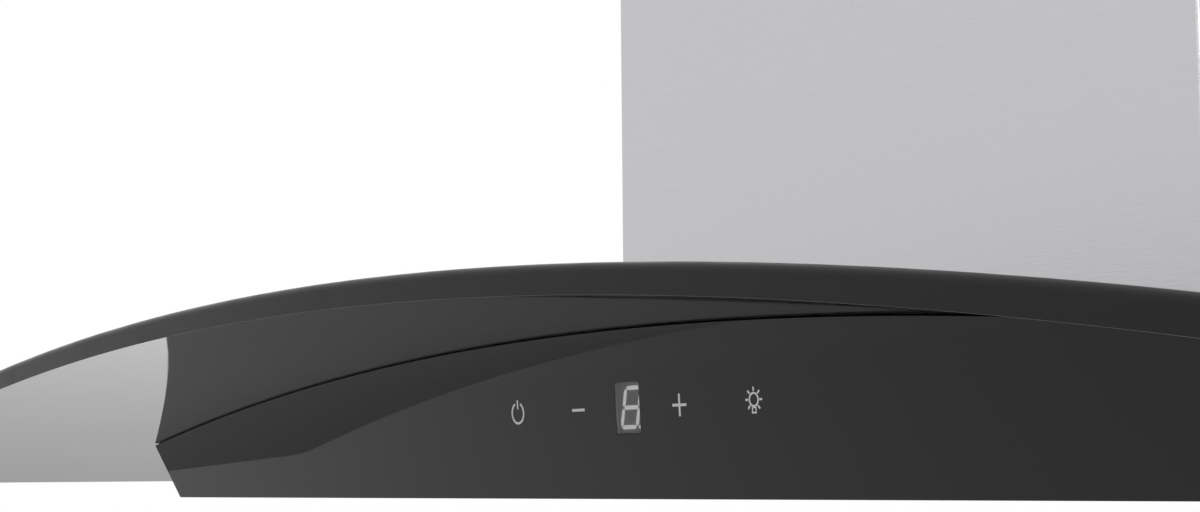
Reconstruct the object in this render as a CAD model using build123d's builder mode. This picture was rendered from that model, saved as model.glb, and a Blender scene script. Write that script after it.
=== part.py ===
from build123d import *
from math import asin, atan, cos, radians, sin, sqrt, tan
import os

# Curved glass range hood for a wall, with a telescoping chimney. Millimetres.
# X runs to the right as seen from the front, -Y faces the room and +Z is up. The wall is the plane Y = 0.
# The origin is the centre of the four wall holes in the back of the blower box.
# Heights are given above the body's bottom edge, and distances out from the wall, unless a name says otherwise.

# ---- Driving dimensions ----

# Canopy: one sheet of glass bent round an axis that runs from front to back
canopy_width = 898.0
canopy_thickness = 8.0
canopy_overhang = 124.0  # beyond the fascia's foot
canopy_wall_gap = 2.0
canopy_corner_radius = 10.0
canopy_top_edge_radius = 2.5  # the edge is ground round from above
canopy_bottom_edge_radius = 0.5
canopy_notch_clearance = 3.7  # round the blower box
canopy_notch_radius = 8.0
arch_radius = 2090.0  # of the canopy's underside
joint_gap = 0.45  # open joint between the fascia's top edge and the canopy
seal_thickness = 2.5
seal_width = 12.0
seal_margin = 6.0  # from the body's edges
seal_clearance = 0.2  # under the glass

# Body: a sheet steel shell, open below
body_height = 55.65  # of the fascia, at the centre
body_front_margin = 80.0  # from the filter openings to the fascia's foot
body_side_margin = 37.4  # from the filter openings to the fascia's foot
body_spread = 24.5  # of each end, from the foot up to the shoulder
body_margin = 1.0  # the shell stands this far inside the fascia's outline
body_sheet = 1.2
flange_width = 12.0
panel_recess = 3.8  # from the body's bottom edge up to the underside panel
panel_clearance = 0.3
lower_wall_hole_half_spacing = 280.0
lower_wall_hole_height = 18.0
lower_wall_hole_radius = 3.5

# Fascia: flat glass, its top leaning forward
fascia_lean = 3.2  # degrees
fascia_thickness = 4.0
fascia_corner_radius = 0.6
fascia_arris = 0.2
tape_thickness = 1.0
tape_width = 8.0
tape_inset = 3.0

# Controls, in the fascia's own plane
key_row_height = 29.9
inner_key_distance = 27.55  # minus and plus, from the centre
outer_key_distance = 64.15  # power and lamp
touch_pad_radius = 5.0
window_width = 13.0
window_height = 17.0
window_corner_radius = 0.8
lens_thickness = 1.2
lens_clearance = 0.05
module_clearance = 0.2
module_setback = 1.7  # behind the fascia's face
segment_relief = 0.2
digit_height = 14.2
digit_width = 9.6
digit_stroke = 1.35
digit_slant = 14.0  # degrees
segment_gap = 0.33
dot_radius = 0.6
dot_offset = 4.2
board_setback = 8.0  # behind the fascia glass
board_width = 156.0
board_height = 24.0
board_thickness = 1.6
chip_spacing = 39.0
chip_size = 10.0
chip_thickness = 1.8
control_opening_width = 160.0
control_opening_height = 26.0
tray_wall = 2.0
tray_rim = 10.0
tray_rim_thickness = 1.5
tray_depth = 14.0
standoff_radius = 3.0
standoff_spacing = (130.0, 14.0)

# Grease filters
filter_opening_width = 290.0
filter_opening_depth = 250.0
filter_web = 24.0  # between the two openings
filter_rear_margin = 50.0  # from the wall to the openings
filter_side_gap = 1.0
filter_rear_gap = 2.0
filter_thickness = 9.0
filter_border = 12.0
filter_skin = 1.5
filter_seat = 6.0  # how far the mesh reaches into the frame's channel
mesh_clearance = 0.2
mesh_columns = 14
mesh_rows = 11
mesh_edge = 9.0  # solid strip round the openings
mesh_bar = 3.2  # solid width left between two openings, along X and along Y
filter_pin_radius = 2.0
filter_pin_inset = 4.0  # from the frame's rear edge to the pivot
filter_pin_seat = 5.0
running_clearance = 0.05
hinge_plate = 2.0
hinge_width = 14.0
hinge_foot = 8.0
hinge_offset = 2.0  # from the opening's edge

# Filter latches
latch_block_width = 60.0
latch_block_depth = 38.0
latch_floor = 1.3
slider_width = 41.4
slider_depth = 22.0
slider_height = 3.4
slider_clearance = 0.3
tongue_width = 30.0
tongue_reach = 5.0
tongue_thickness = 2.0
pocket_depth = 34.0
finger_tab_thickness = 3.0
finger_tab_distance = 9.0  # from the frame's front edge
finger_slot_width = 34.0
latch_travel = 6.0
finger_tab_bottom = 0.3
latch_spring_radius = 1.6
keeper_thickness = 0.8
keeper_foot = 16.0
keeper_lip = 4.5
keeper_notch_depth = 6.0
keeper_notch_clearance = 2.0

# Lamps
lamp_distance = 235.0  # from the centre
lamp_front_margin = 34.0  # from the filter openings to the lamps' centres
lamp_hole_radius = 26.0
lamp_barrel_clearance = 0.3
bezel_radius = 29.0
bezel_flange = 1.5
bezel_edge_radius = 1.2
bezel_wall = 2.2
bezel_height = 8.2  # of the barrel above the panel's lower face
bezel_lip_radius = 21.5
bezel_lip_height = 1.8
lamp_lens_thickness = 2.0
lamp_lens_clearance = 0.2
lamp_plug_clearance = 0.3
lamp_flange_radius = 27.0
lamp_flange_thickness = 2.0
heat_sink_radius = 24.0
heat_sink_height = 14.0
heat_sink_fins = 12
fin_slot_width = 3.0
fin_slot_depth = 12.0

# Blower box and the body's upstand under it
chimney_side_space = 20.75  # from the chimney's side in to the upstand
upstand_back = 1.3
upstand_front = 236.0
upstand_foot = 40.0
upstand_top = 90.0
box_sheet = 1.0
box_clearance = 0.3
box_foot = 66.5
box_top = 320.0
box_screw_height = 78.0
box_front_screw_distance = 70.0
wall_hole_half_spacing_x = 100.0
wall_hole_half_spacing_z = 90.0
wall_hole_radius = 4.0
wall_hole_height = 200.0  # the pattern's centre, which is the origin

# Glass clamps
clamp_thickness = 2.0
clamp_pad_thickness = 1.0
clamp_reach = 16.7
clamp_height = 28.0
clamp_back = 50.0
clamp_length = 140.0
clamp_screw_inset = 25.0

# Blower: a double-inlet wheel in a scroll of three quarter arcs
wheel_height = 165.0
wheel_radius = 72.5
wheel_half_width = 58.0
wheel_ring_width = 12.5
wheel_ring_thickness = 3.0
blade_count = 36
blade_chord = 13.5
blade_thickness = 1.2
blade_angle = 30.0
hub_radius = 12.0
hub_reach = 16.0
scroll_start_radius = 82.0
scroll_step = 6.0
scroll_start_angle = 105.0
scroll_half_width = 62.0
scroll_wall = 2.5
scroll_flange = 6.0
scroll_top = 248.0
inlet_radius = 64.0
outlet_wall = 2.0
outlet_corner_radius = 10.0

# Motor
shaft_radius = 4.0
shaft_overhang = 4.0
motor_radius = 42.0
motor_inner_end = 10.0  # distances along -X from the wheel's centre plane
motor_outer_end = 76.0
motor_wall = 2.0
motor_end_wall = 7.0
bearing_radius = 11.0
rotor_radius = 22.0
stator_bore = 23.0
winding_gap = 6.0  # from the end walls to the rotor and stator
bracket_thickness = 2.5
bracket_ring_radius = 36.0
bracket_hole_radius = 16.0
bracket_arm_width = 12.0
bracket_arm_radius = 80.0
bracket_leg = 8.0
bracket_arms = 3

# Duct collar and its two flaps
duct_distance = 118.5  # collar's axis, from the wall
collar_radius = 74.5
collar_wall = 2.5
collar_height = 50.0
collar_flange_radius = 88.0
collar_flange_thickness = 2.5
collar_screw_circle = 81.5
collar_screws_count = 4
collar_screw_angle = 45.0
box_hole_radius = 73.0
ledge_height = 23.0  # top of the ledge above the box
ledge_thickness = 3.0
ledge_width = 2.0
crossbar_width = 12.0
crossbar_thickness = 5.0
flap_thickness = 2.0
flap_rim_gap = 0.7
flap_clearance = 0.3
flap_barrel_radius = 2.7
flap_barrel_half_length = 68.0
flap_axis_offset = 5.0
flap_pin_radius = 1.5
flap_pin_half_length = 74.0

# Electrical parts on the blower box
electrical_inner_x = 62.0
electrical_margin = 3.0  # from the upstand's side
electrical_distance = 26.0  # from the wall
junction_depth = 40.0
junction_height = 30.0
junction_wall = 2.0
terminal_side_space = 8.0
terminal_depth = 16.0
terminal_height = 14.0
gland_hole_radius = 4.0
gland_thread_radius = 8.0
gland_nut_radius = 12.0
gland_nut_height = 6.0
gland_dome_radius = 10.0
gland_dome_height = 9.0
gland_dome_taper = 15.0
driver_depth = 36.0
driver_height = 22.0
capacitor_radius = 14.0
capacitor_height = 52.0
capacitor_inset = 20.0  # from the upstand's side
capacitor_distance = 214.0
capacitor_stud_radius = 4.0
capacitor_stud_height = 5.0

# Chimney covers
chimney_width = 297.5
chimney_setback = 107.5  # front face behind the fascia's foot
chimney_sheet = 1.0
chimney_bend_radius = 1.5
chimney_return = 14.0
chimney_glass_gap = 0.4
lower_chimney_top = 470.0
lower_chimney_wall_gap = 2.0
chimney_slide_gap = 0.5
upper_chimney_foot = 125.0
upper_chimney_top = 575.0
vent_rows = 8
vent_pitch = 9.0
vent_length = 60.0
vent_width = 4.0
vent_top_distance = 40.0
bracket_sheet = 1.5
chimney_bracket_foot = 72.0
chimney_bracket_height = 28.0
chimney_bracket_back = 205.0
chimney_bracket_depth = 30.0
top_bracket_height = 25.0
top_bracket_drop = 5.0  # below the upper chimney's top
top_bracket_wall_gap = 0.5
top_bracket_inset = 16.25  # from the upper chimney's side in to the step
top_bracket_step = 12.0
top_bracket_arm = 60.0
top_bracket_hole_half_spacing = 90.0
top_bracket_hole_radius = 3.5
top_bracket_screw_distance = 45.0

# Pan head screws: M4 throughout, and M3 in the scroll's narrow flange
screw_radius = 2.0
screw_head_radius = 4.0
small_screw_radius = 1.5
small_screw_head_radius = 2.6
screw_head_height = 2.2
screw_head_chamfer = 0.7
screw_hole_clearance = 0.2
recess_share = 0.55  # of the head's diameter
recess_width = 0.9
recess_depth = 1.0
screw_overrun = 1.5  # past the last sheet a screw holds
tight_clearance = 0.02

# ---- Derived sizes ----

opening_front = filter_rear_margin + filter_opening_depth
body_depth = opening_front + body_front_margin
foot_half_width = filter_web / 2 + filter_opening_width + body_side_margin
shoulder_half_width = foot_half_width + body_spread
upstand_half_width = chimney_width / 2 - chimney_side_space
arch_centre = body_height + joint_gap - arch_radius
canopy_top_radius = arch_radius + canopy_thickness
fascia_top_radius = arch_radius - joint_gap
deck_radius = arch_radius - seal_thickness


def arch_height(x, radius):
    """Height at x of an arch concentric with the canopy."""
    return arch_centre + sqrt(radius**2 - x**2)


end_slope = (shoulder_half_width - foot_half_width) / arch_height(shoulder_half_width, fascia_top_radius)


def end_x(height):
    """Half width of the fascia's outline at a height."""
    return foot_half_width + end_slope * height


lean = radians(fascia_lean)
wall_depth = fascia_thickness + tape_thickness  # of the body's front wall, behind the fascia's face


def front_distance(depth, height):
    """Distance from the wall of the surface this deep behind the fascia's face, at a height."""
    return body_depth + height * tan(lean) - depth / cos(lean)


def level(height):
    return Plane.XY.offset(height - wall_hole_height)


def facing(distance):
    """Upright plane seen from the front: local x is X, local y is the height."""
    return Plane(origin=(0, -distance, -wall_hole_height), x_dir=(1, 0, 0), z_dir=(0, -1, 0))


def side(x):
    """Upright plane seen from the right: local x is Y, local y is the height."""
    return Plane(origin=(x, 0, -wall_hole_height), x_dir=(0, 1, 0), z_dir=(1, 0, 0))


def behind_fascia(depth):
    """Plane parallel to the fascia, this deep behind its face, facing the room."""
    face = Plane(origin=(0, -body_depth, -wall_hole_height), x_dir=(1, 0, 0), z_dir=(0, -cos(lean), -sin(lean)))
    return face.offset(-depth)


def hood_section(top_radius, foot, inset):
    """Front outline under an arch, from the height foot up, its slanted ends drawn in by inset."""
    draw_in = inset / cos(atan(end_slope))
    above = body_height + canopy_thickness
    with BuildSketch() as section:
        with BuildLine():
            Polyline(
                (draw_in - end_x(foot), foot),
                (end_x(foot) - draw_in, foot),
                (end_x(above) - draw_in, above),
                (draw_in - end_x(above), above),
                close=True,
            )
        make_face()
        with Locations((0, arch_centre)):
            Circle(top_radius, mode=Mode.INTERSECT)
    return section.sketch


def arch_band(low_radius, high_radius, x_from, x_to):
    """Strip between two arches, from one X to another."""
    low = arch_height(max(abs(x_from), abs(x_to)), low_radius) - canopy_thickness
    high = arch_height(0, high_radius) + canopy_thickness
    with BuildSketch() as band:
        with Locations(((x_from + x_to) / 2, (low + high) / 2)):
            Rectangle(x_to - x_from, high - low)
        with Locations((0, arch_centre)):
            Circle(high_radius, mode=Mode.INTERSECT)
            Circle(low_radius, mode=Mode.SUBTRACT)
    return band.sketch


def pan_screws(plane, places, length, radius=screw_radius, head_radius=screw_head_radius):
    """Pan head screws at places on a plane, heads on its outward side."""
    recess_length = 2 * head_radius * recess_share
    with BuildPart() as screws:
        with BuildSketch(plane):
            with Locations(*places):
                Circle(head_radius)
        extrude(amount=screw_head_height)
        rims = screws.edges().filter_by(GeomType.CIRCLE).filter_by(
            lambda edge: plane.to_local_coords(edge.center()).Z > screw_head_height / 2
        )
        chamfer(rims, length=screw_head_chamfer)
        with BuildSketch(plane):
            with Locations(*places):
                Circle(radius)
        extrude(amount=-length)
        with BuildSketch(plane.offset(screw_head_height)):
            with Locations(*places):
                Rectangle(recess_length, recess_width)
                Rectangle(recess_width, recess_length)
        extrude(amount=-recess_depth, mode=Mode.SUBTRACT)
    return screws.part


hands = ((-1, "left"), (1, "right"))
screw_hole_radius = screw_radius + screw_hole_clearance
os.makedirs("parts", exist_ok=True)

# ---- Blower box outline, which the canopy's notch and the chimney go round ----

box_half_width = upstand_half_width + box_clearance + box_sheet
box_front = upstand_front + box_clearance + box_sheet

# ---- Canopy glass ----

canopy_end_angle = asin(canopy_width / 2 / arch_radius)
notch_half_width = box_half_width + canopy_notch_clearance
notch_front = box_front + canopy_notch_clearance
wedge_radius = canopy_top_radius + canopy_thickness

with BuildPart() as canopy_glass:
    with BuildSketch(facing(canopy_wall_gap)):
        with BuildLine():
            Polyline(
                (0, arch_centre),
                (wedge_radius * sin(canopy_end_angle), arch_centre + wedge_radius * cos(canopy_end_angle)),
                (0, arch_centre + wedge_radius / cos(canopy_end_angle)),
                (-wedge_radius * sin(canopy_end_angle), arch_centre + wedge_radius * cos(canopy_end_angle)),
                close=True,
            )
        make_face()
        with Locations((0, arch_centre)):
            Circle(canopy_top_radius, mode=Mode.INTERSECT)
            Circle(arch_radius, mode=Mode.SUBTRACT)
    extrude(amount=body_depth + canopy_overhang - canopy_wall_gap)
    corners = canopy_glass.edges().filter_by(
        lambda edge: edge.length < canopy_thickness + 1 and abs(edge.center().X) > shoulder_half_width
    )
    fillet(corners, radius=canopy_corner_radius)
    with BuildSketch(level(0)):
        with Locations((0, -notch_front / 2)):
            Rectangle(2 * notch_half_width, notch_front)
    extrude(amount=2 * (body_height + canopy_thickness), mode=Mode.SUBTRACT)
    notch_corners = canopy_glass.edges().filter_by(
        lambda edge: edge.length < canopy_thickness + 1
        and abs(abs(edge.center().X) - notch_half_width) < 1
        and abs(edge.center().Y + notch_front) < 1
    )
    fillet(notch_corners, radius=canopy_notch_radius)
    for top, radius in ((-1, canopy_top_edge_radius), (0, canopy_bottom_edge_radius)):
        skins = canopy_glass.faces().sort_by(SortBy.AREA)[-2:].sort_by(Axis.Z)
        fillet(skins[top].edges(), radius=radius)
canopy_glass.part.label = "canopy_glass"
export_step(canopy_glass.part, "parts/canopy_glass.step")

# ---- Body shell: slanted ends, arched deck, upstand, inward flange ----

panel_top = panel_recess + body_sheet
cavity_half_width = end_x(panel_recess) - (body_margin + body_sheet) / cos(atan(end_slope))
cavity_front = front_distance(wall_depth + body_sheet, panel_recess)

with BuildPart() as body_cavity:
    with BuildSketch(facing(body_sheet)):
        add(hood_section(deck_radius - body_sheet, -panel_top, body_margin + body_sheet))
    extrude(amount=body_depth)
    split(bisect_by=behind_fascia(wall_depth + body_sheet), keep=Keep.BOTTOM)

with BuildPart() as body_flange:
    add(body_cavity.part)
    with BuildSketch(level(panel_top)):
        with Locations((0, -body_depth / 2)):
            Rectangle(canopy_width, 2 * body_depth)
    extrude(amount=body_sheet, mode=Mode.INTERSECT)
    with BuildSketch(level(panel_top)):
        with Locations((0, -(body_sheet + cavity_front) / 2)):
            Rectangle(2 * (cavity_half_width - flange_width), cavity_front - body_sheet - 2 * flange_width)
    extrude(amount=body_sheet, mode=Mode.SUBTRACT)

panel_screw_x = cavity_half_width - flange_width / 2
panel_screw_back = body_sheet + flange_width / 2
panel_screw_front = cavity_front - flange_width / 2
panel_screw_places = [(0, -panel_screw_back), (0, -panel_screw_front)]
for sign, hand in hands:
    for distance in (panel_screw_back, (panel_screw_back + panel_screw_front) / 2, panel_screw_front):
        panel_screw_places.append((sign * panel_screw_x, -distance))

clamp_screw_distances = (clamp_back + clamp_screw_inset, clamp_back + clamp_length - clamp_screw_inset)
side_screw_places = [(-distance, box_screw_height) for distance in clamp_screw_distances]
front_screw_places = [(sign * box_front_screw_distance, box_screw_height) for sign, hand in hands]

with BuildPart() as body_shell:
    with BuildSketch(facing(0)):
        add(hood_section(deck_radius, 0, body_margin))
    extrude(amount=body_depth + body_height)
    split(bisect_by=behind_fascia(wall_depth), keep=Keep.BOTTOM)
    add(body_cavity.part, mode=Mode.SUBTRACT)
    add(body_flange.part)
    with BuildSketch(level(upstand_foot)):
        with Locations((0, -(upstand_back + upstand_front) / 2)):
            Rectangle(2 * upstand_half_width, upstand_front - upstand_back)
    extrude(amount=upstand_top - upstand_foot)
    with BuildSketch(level(upstand_foot)):
        with Locations((0, -(upstand_back + upstand_front) / 2)):
            Rectangle(
                2 * (upstand_half_width - body_sheet),
                upstand_front - upstand_back - 2 * body_sheet,
            )
    extrude(amount=upstand_top - upstand_foot, mode=Mode.SUBTRACT)
    with BuildSketch(behind_fascia(wall_depth + body_sheet)):
        with Locations((0, key_row_height)):
            Rectangle(control_opening_width, control_opening_height)
    extrude(amount=body_sheet, mode=Mode.SUBTRACT)
    with BuildSketch(level(panel_top)):
        with Locations(*panel_screw_places):
            Circle(screw_radius + tight_clearance)
    extrude(amount=body_sheet, mode=Mode.SUBTRACT)
    with BuildSketch(facing(0)):
        with GridLocations(2 * lower_wall_hole_half_spacing, 1, 2, 1):
            with Locations((0, lower_wall_hole_height)):
                Circle(lower_wall_hole_radius)
    extrude(amount=body_sheet, mode=Mode.SUBTRACT)
    with BuildSketch(side(-upstand_half_width)):
        with Locations(*side_screw_places):
            Circle(screw_radius + tight_clearance)
    extrude(amount=2 * upstand_half_width, mode=Mode.SUBTRACT)
    with BuildSketch(facing(upstand_front - body_sheet)):
        with Locations(*front_screw_places):
            Circle(screw_radius + tight_clearance)
    extrude(amount=body_sheet, mode=Mode.SUBTRACT)
body_shell.part.label = "body_shell"
export_step(body_shell.part, "parts/body_shell.step")

# ---- Glass seal: a rubber strip on the deck, open at the back where the canopy is notched ----

seal_outer_x = shoulder_half_width - body_margin - seal_margin
seal_front = front_distance(wall_depth, body_height) - seal_margin
seal_back = canopy_wall_gap + seal_margin

with BuildPart() as glass_seal:
    with BuildSketch(facing(seal_back)):
        add(arch_band(deck_radius, arch_radius - seal_clearance, -seal_outer_x, seal_outer_x))
    extrude(amount=seal_front - seal_back)
    with BuildSketch(level(0)):
        with Locations((0, -(seal_back + seal_front) / 2)):
            Rectangle(2 * (seal_outer_x - seal_width), seal_front - seal_back - 2 * seal_width)
        with Locations((0, -(seal_back + seal_width) / 2)):
            Rectangle(2 * (notch_half_width + seal_width), seal_back + seal_width)
    extrude(amount=2 * body_height, mode=Mode.SUBTRACT)
glass_seal.part.label = "glass_seal"
export_step(glass_seal.part, "parts/glass_seal.step")

# ---- Fascia glass and the tape behind it ----

with BuildPart() as fascia_glass:
    with BuildSketch(behind_fascia(fascia_thickness)) as fascia_outline:
        add(hood_section(fascia_top_radius, 0, 0))
        fillet(fascia_outline.vertices(), radius=fascia_corner_radius)
    extrude(amount=fascia_thickness)
    fascia_rims = fascia_glass.faces().sort_by(SortBy.AREA)[-2:].edges()
    chamfer(fascia_rims, length=fascia_arris)
    with BuildSketch(behind_fascia(fascia_thickness)):
        with Locations((0, key_row_height)):
            RectangleRounded(window_width, window_height, window_corner_radius)
    extrude(amount=fascia_thickness, mode=Mode.SUBTRACT)
fascia_glass.part.label = "fascia_glass"
export_step(fascia_glass.part, "parts/fascia_glass.step")

tape_inner_inset = tape_inset + tape_width
with BuildPart() as fascia_tape:
    with BuildSketch(behind_fascia(wall_depth)):
        add(hood_section(deck_radius - tape_inset, tape_inset, body_margin + tape_inset))
        add(
            hood_section(deck_radius - tape_inner_inset, tape_inner_inset, body_margin + tape_inner_inset),
            mode=Mode.SUBTRACT,
        )
    extrude(amount=tape_thickness)
fascia_tape.part.label = "fascia_tape"
export_step(fascia_tape.part, "parts/fascia_tape.step")

# ---- Controls: window, digit module, board, touch pads and tray ----

with BuildPart() as display_lens:
    with BuildSketch(behind_fascia(lens_thickness)):
        with Locations((0, key_row_height)):
            RectangleRounded(
                window_width - 2 * lens_clearance,
                window_height - 2 * lens_clearance,
                window_corner_radius - lens_clearance,
            )
    extrude(amount=lens_thickness)
display_lens.part.label = "display_lens"
export_step(display_lens.part, "parts/display_lens.step")

board_depth = fascia_thickness + board_setback

with BuildPart() as display_module:
    with BuildSketch(behind_fascia(board_depth)):
        with Locations((0, key_row_height)):
            RectangleRounded(
                window_width - 2 * module_clearance,
                window_height - 2 * module_clearance,
                window_corner_radius - module_clearance,
            )
    extrude(amount=board_depth - module_setback)
display_module.part.label = "display_module"
export_step(display_module.part, "parts/display_module.step")


def segment_points(x, y, length, upright):
    """Corners of one bar of the digit, pointed at both ends and slanted with the digit."""
    half, wide = length / 2 - segment_gap, digit_stroke / 2
    flat = half - wide
    bar = [(-half, 0), (-flat, wide), (flat, wide), (half, 0), (flat, -wide), (-flat, -wide)]
    if upright:
        bar = [(across, along) for along, across in bar]
    slope = tan(radians(digit_slant))
    return [(x + px + slope * (y + py), key_row_height + y + py) for px, py in bar]


bar_x = (digit_width - digit_stroke) / 2
bar_y = (digit_height - digit_stroke) / 2
with BuildPart() as display_segments:
    with BuildSketch(behind_fascia(module_setback)):
        for row in (-1, 0, 1):
            with BuildLine():
                Polyline(*segment_points(0, row * bar_y, 2 * bar_x, False), close=True)
            make_face()
        for column in (-1, 1):
            for row in (-1, 1):
                with BuildLine():
                    Polyline(*segment_points(column * bar_x, row * bar_y / 2, bar_y, True), close=True)
                make_face()
        with Locations((dot_offset, key_row_height - bar_y)):
            Circle(dot_radius)
    extrude(amount=segment_relief)
display_segments.part.label = "display_segments"
export_step(display_segments.part, "parts/display_segments.step")

with BuildPart() as control_board:
    with BuildSketch(behind_fascia(board_depth + board_thickness)):
        with Locations((0, key_row_height)):
            Rectangle(board_width, board_height)
    extrude(amount=board_thickness)
    with BuildSketch(behind_fascia(board_depth + board_thickness)):
        with Locations((0, key_row_height), (chip_spacing, key_row_height)):
            Rectangle(chip_size, chip_size)
    extrude(amount=-chip_thickness)
control_board.part.label = "control_board"
export_step(control_board.part, "parts/control_board.step")

key_distances = (-outer_key_distance, -inner_key_distance, inner_key_distance, outer_key_distance)
with BuildPart() as touch_pads:
    with BuildSketch(behind_fascia(board_depth)):
        with Locations(*[(distance, key_row_height) for distance in key_distances]):
            Circle(touch_pad_radius)
    extrude(amount=board_depth - fascia_thickness)
touch_pads.part.label = "touch_pads"
export_step(touch_pads.part, "parts/touch_pads.step")

tray_front = wall_depth + body_sheet
tray_back = tray_front + tray_depth
with BuildPart() as control_tray:
    with BuildSketch(behind_fascia(tray_back)):
        with Locations((0, key_row_height)):
            Rectangle(control_opening_width + 2 * tray_wall, control_opening_height + 2 * tray_wall)
    extrude(amount=tray_depth)
    with BuildSketch(behind_fascia(tray_front + tray_rim_thickness)):
        with Locations((0, key_row_height)):
            Rectangle(control_opening_width + 2 * tray_rim, control_opening_height + tray_rim)
    extrude(amount=tray_rim_thickness)
    with BuildSketch(behind_fascia(tray_back - tray_wall)):
        with Locations((0, key_row_height)):
            Rectangle(control_opening_width, control_opening_height)
    extrude(amount=tray_depth - tray_wall, mode=Mode.SUBTRACT)
    with BuildSketch(behind_fascia(tray_back - tray_wall)):
        with Locations((0, key_row_height)):
            with GridLocations(*standoff_spacing, 2, 2):
                Circle(standoff_radius)
    extrude(amount=tray_back - tray_wall - board_depth - board_thickness)
control_tray.part.label = "control_tray"
export_step(control_tray.part, "parts/control_tray.step")

# ---- Underside panel and its screws ----

opening_centre_x = (filter_web + filter_opening_width) / 2
opening_centre_y = -(filter_rear_margin + opening_front) / 2
panel_half_width = cavity_half_width - panel_clearance
panel_back = body_sheet + panel_clearance
panel_front = cavity_front - panel_clearance
lamp_from_wall = opening_front + lamp_front_margin

with BuildPart() as underside_panel:
    with BuildSketch(level(panel_recess)):
        with Locations((0, -(panel_back + panel_front) / 2)):
            Rectangle(2 * panel_half_width, panel_front - panel_back)
        for sign, hand in hands:
            with Locations((sign * opening_centre_x, opening_centre_y)):
                Rectangle(filter_opening_width, filter_opening_depth, mode=Mode.SUBTRACT)
            with Locations((sign * opening_centre_x, -opening_front)):
                Rectangle(tongue_width + 2 * keeper_notch_clearance, 2 * keeper_notch_depth, mode=Mode.SUBTRACT)
            with Locations((sign * lamp_distance, -lamp_from_wall)):
                Circle(lamp_hole_radius, mode=Mode.SUBTRACT)
        with Locations(*panel_screw_places):
            Circle(screw_hole_radius, mode=Mode.SUBTRACT)
    extrude(amount=body_sheet)
underside_panel.part.label = "underside_panel"
export_step(underside_panel.part, "parts/underside_panel.step")

with BuildPart() as panel_screws:
    panel_underside = Plane(origin=level(panel_recess).origin, x_dir=(1, 0, 0), z_dir=(0, 0, -1))
    add(pan_screws(panel_underside, [(x, -y) for x, y in panel_screw_places], 2 * body_sheet + screw_overrun))
panel_screws.part.label = "panel_screws"
export_step(panel_screws.part, "parts/panel_screws.step")

# ---- Grease filters, hung on pins at the back and latched at the front ----

filter_width = filter_opening_width - 2 * filter_side_gap
filter_back = filter_rear_margin + filter_rear_gap
filter_front = opening_front - filter_side_gap
filter_depth = filter_front - filter_back
filter_centre_y = -(filter_back + filter_front) / 2
pivot_distance = filter_back + filter_pin_inset
pivot_height = panel_recess + filter_thickness / 2
filter_clear_width = filter_width - 2 * filter_border
filter_clear_depth = filter_depth - 2 * filter_border
channel_width = filter_clear_width + 2 * filter_seat
channel_depth = filter_clear_depth + 2 * filter_seat
mesh_width = channel_width - 2 * mesh_clearance
mesh_depth = channel_depth - 2 * mesh_clearance
mesh_pitch_x = (mesh_width - 2 * mesh_edge) / mesh_columns
mesh_pitch_y = (mesh_depth - 2 * mesh_edge) / mesh_rows
pocket_floor = panel_recess + latch_floor
slider_foot = pocket_floor + slider_clearance
block_centre_y = -filter_front + latch_block_depth / 2
pocket_width = slider_width + 2 * slider_clearance
finger_slot_depth = finger_tab_thickness + latch_travel + 2 * slider_clearance
finger_slot_middle = finger_tab_distance - slider_clearance + finger_slot_depth / 2


def mesh_diamond():
    """One opening of the grease mesh."""
    half_x, half_y = (mesh_pitch_x - mesh_bar) / 2, (mesh_pitch_y - mesh_bar) / 2
    with BuildSketch() as diamond:
        Polygon((-half_x, 0), (0, -half_y), (half_x, 0), (0, half_y), align=None)
    return diamond.sketch


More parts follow.
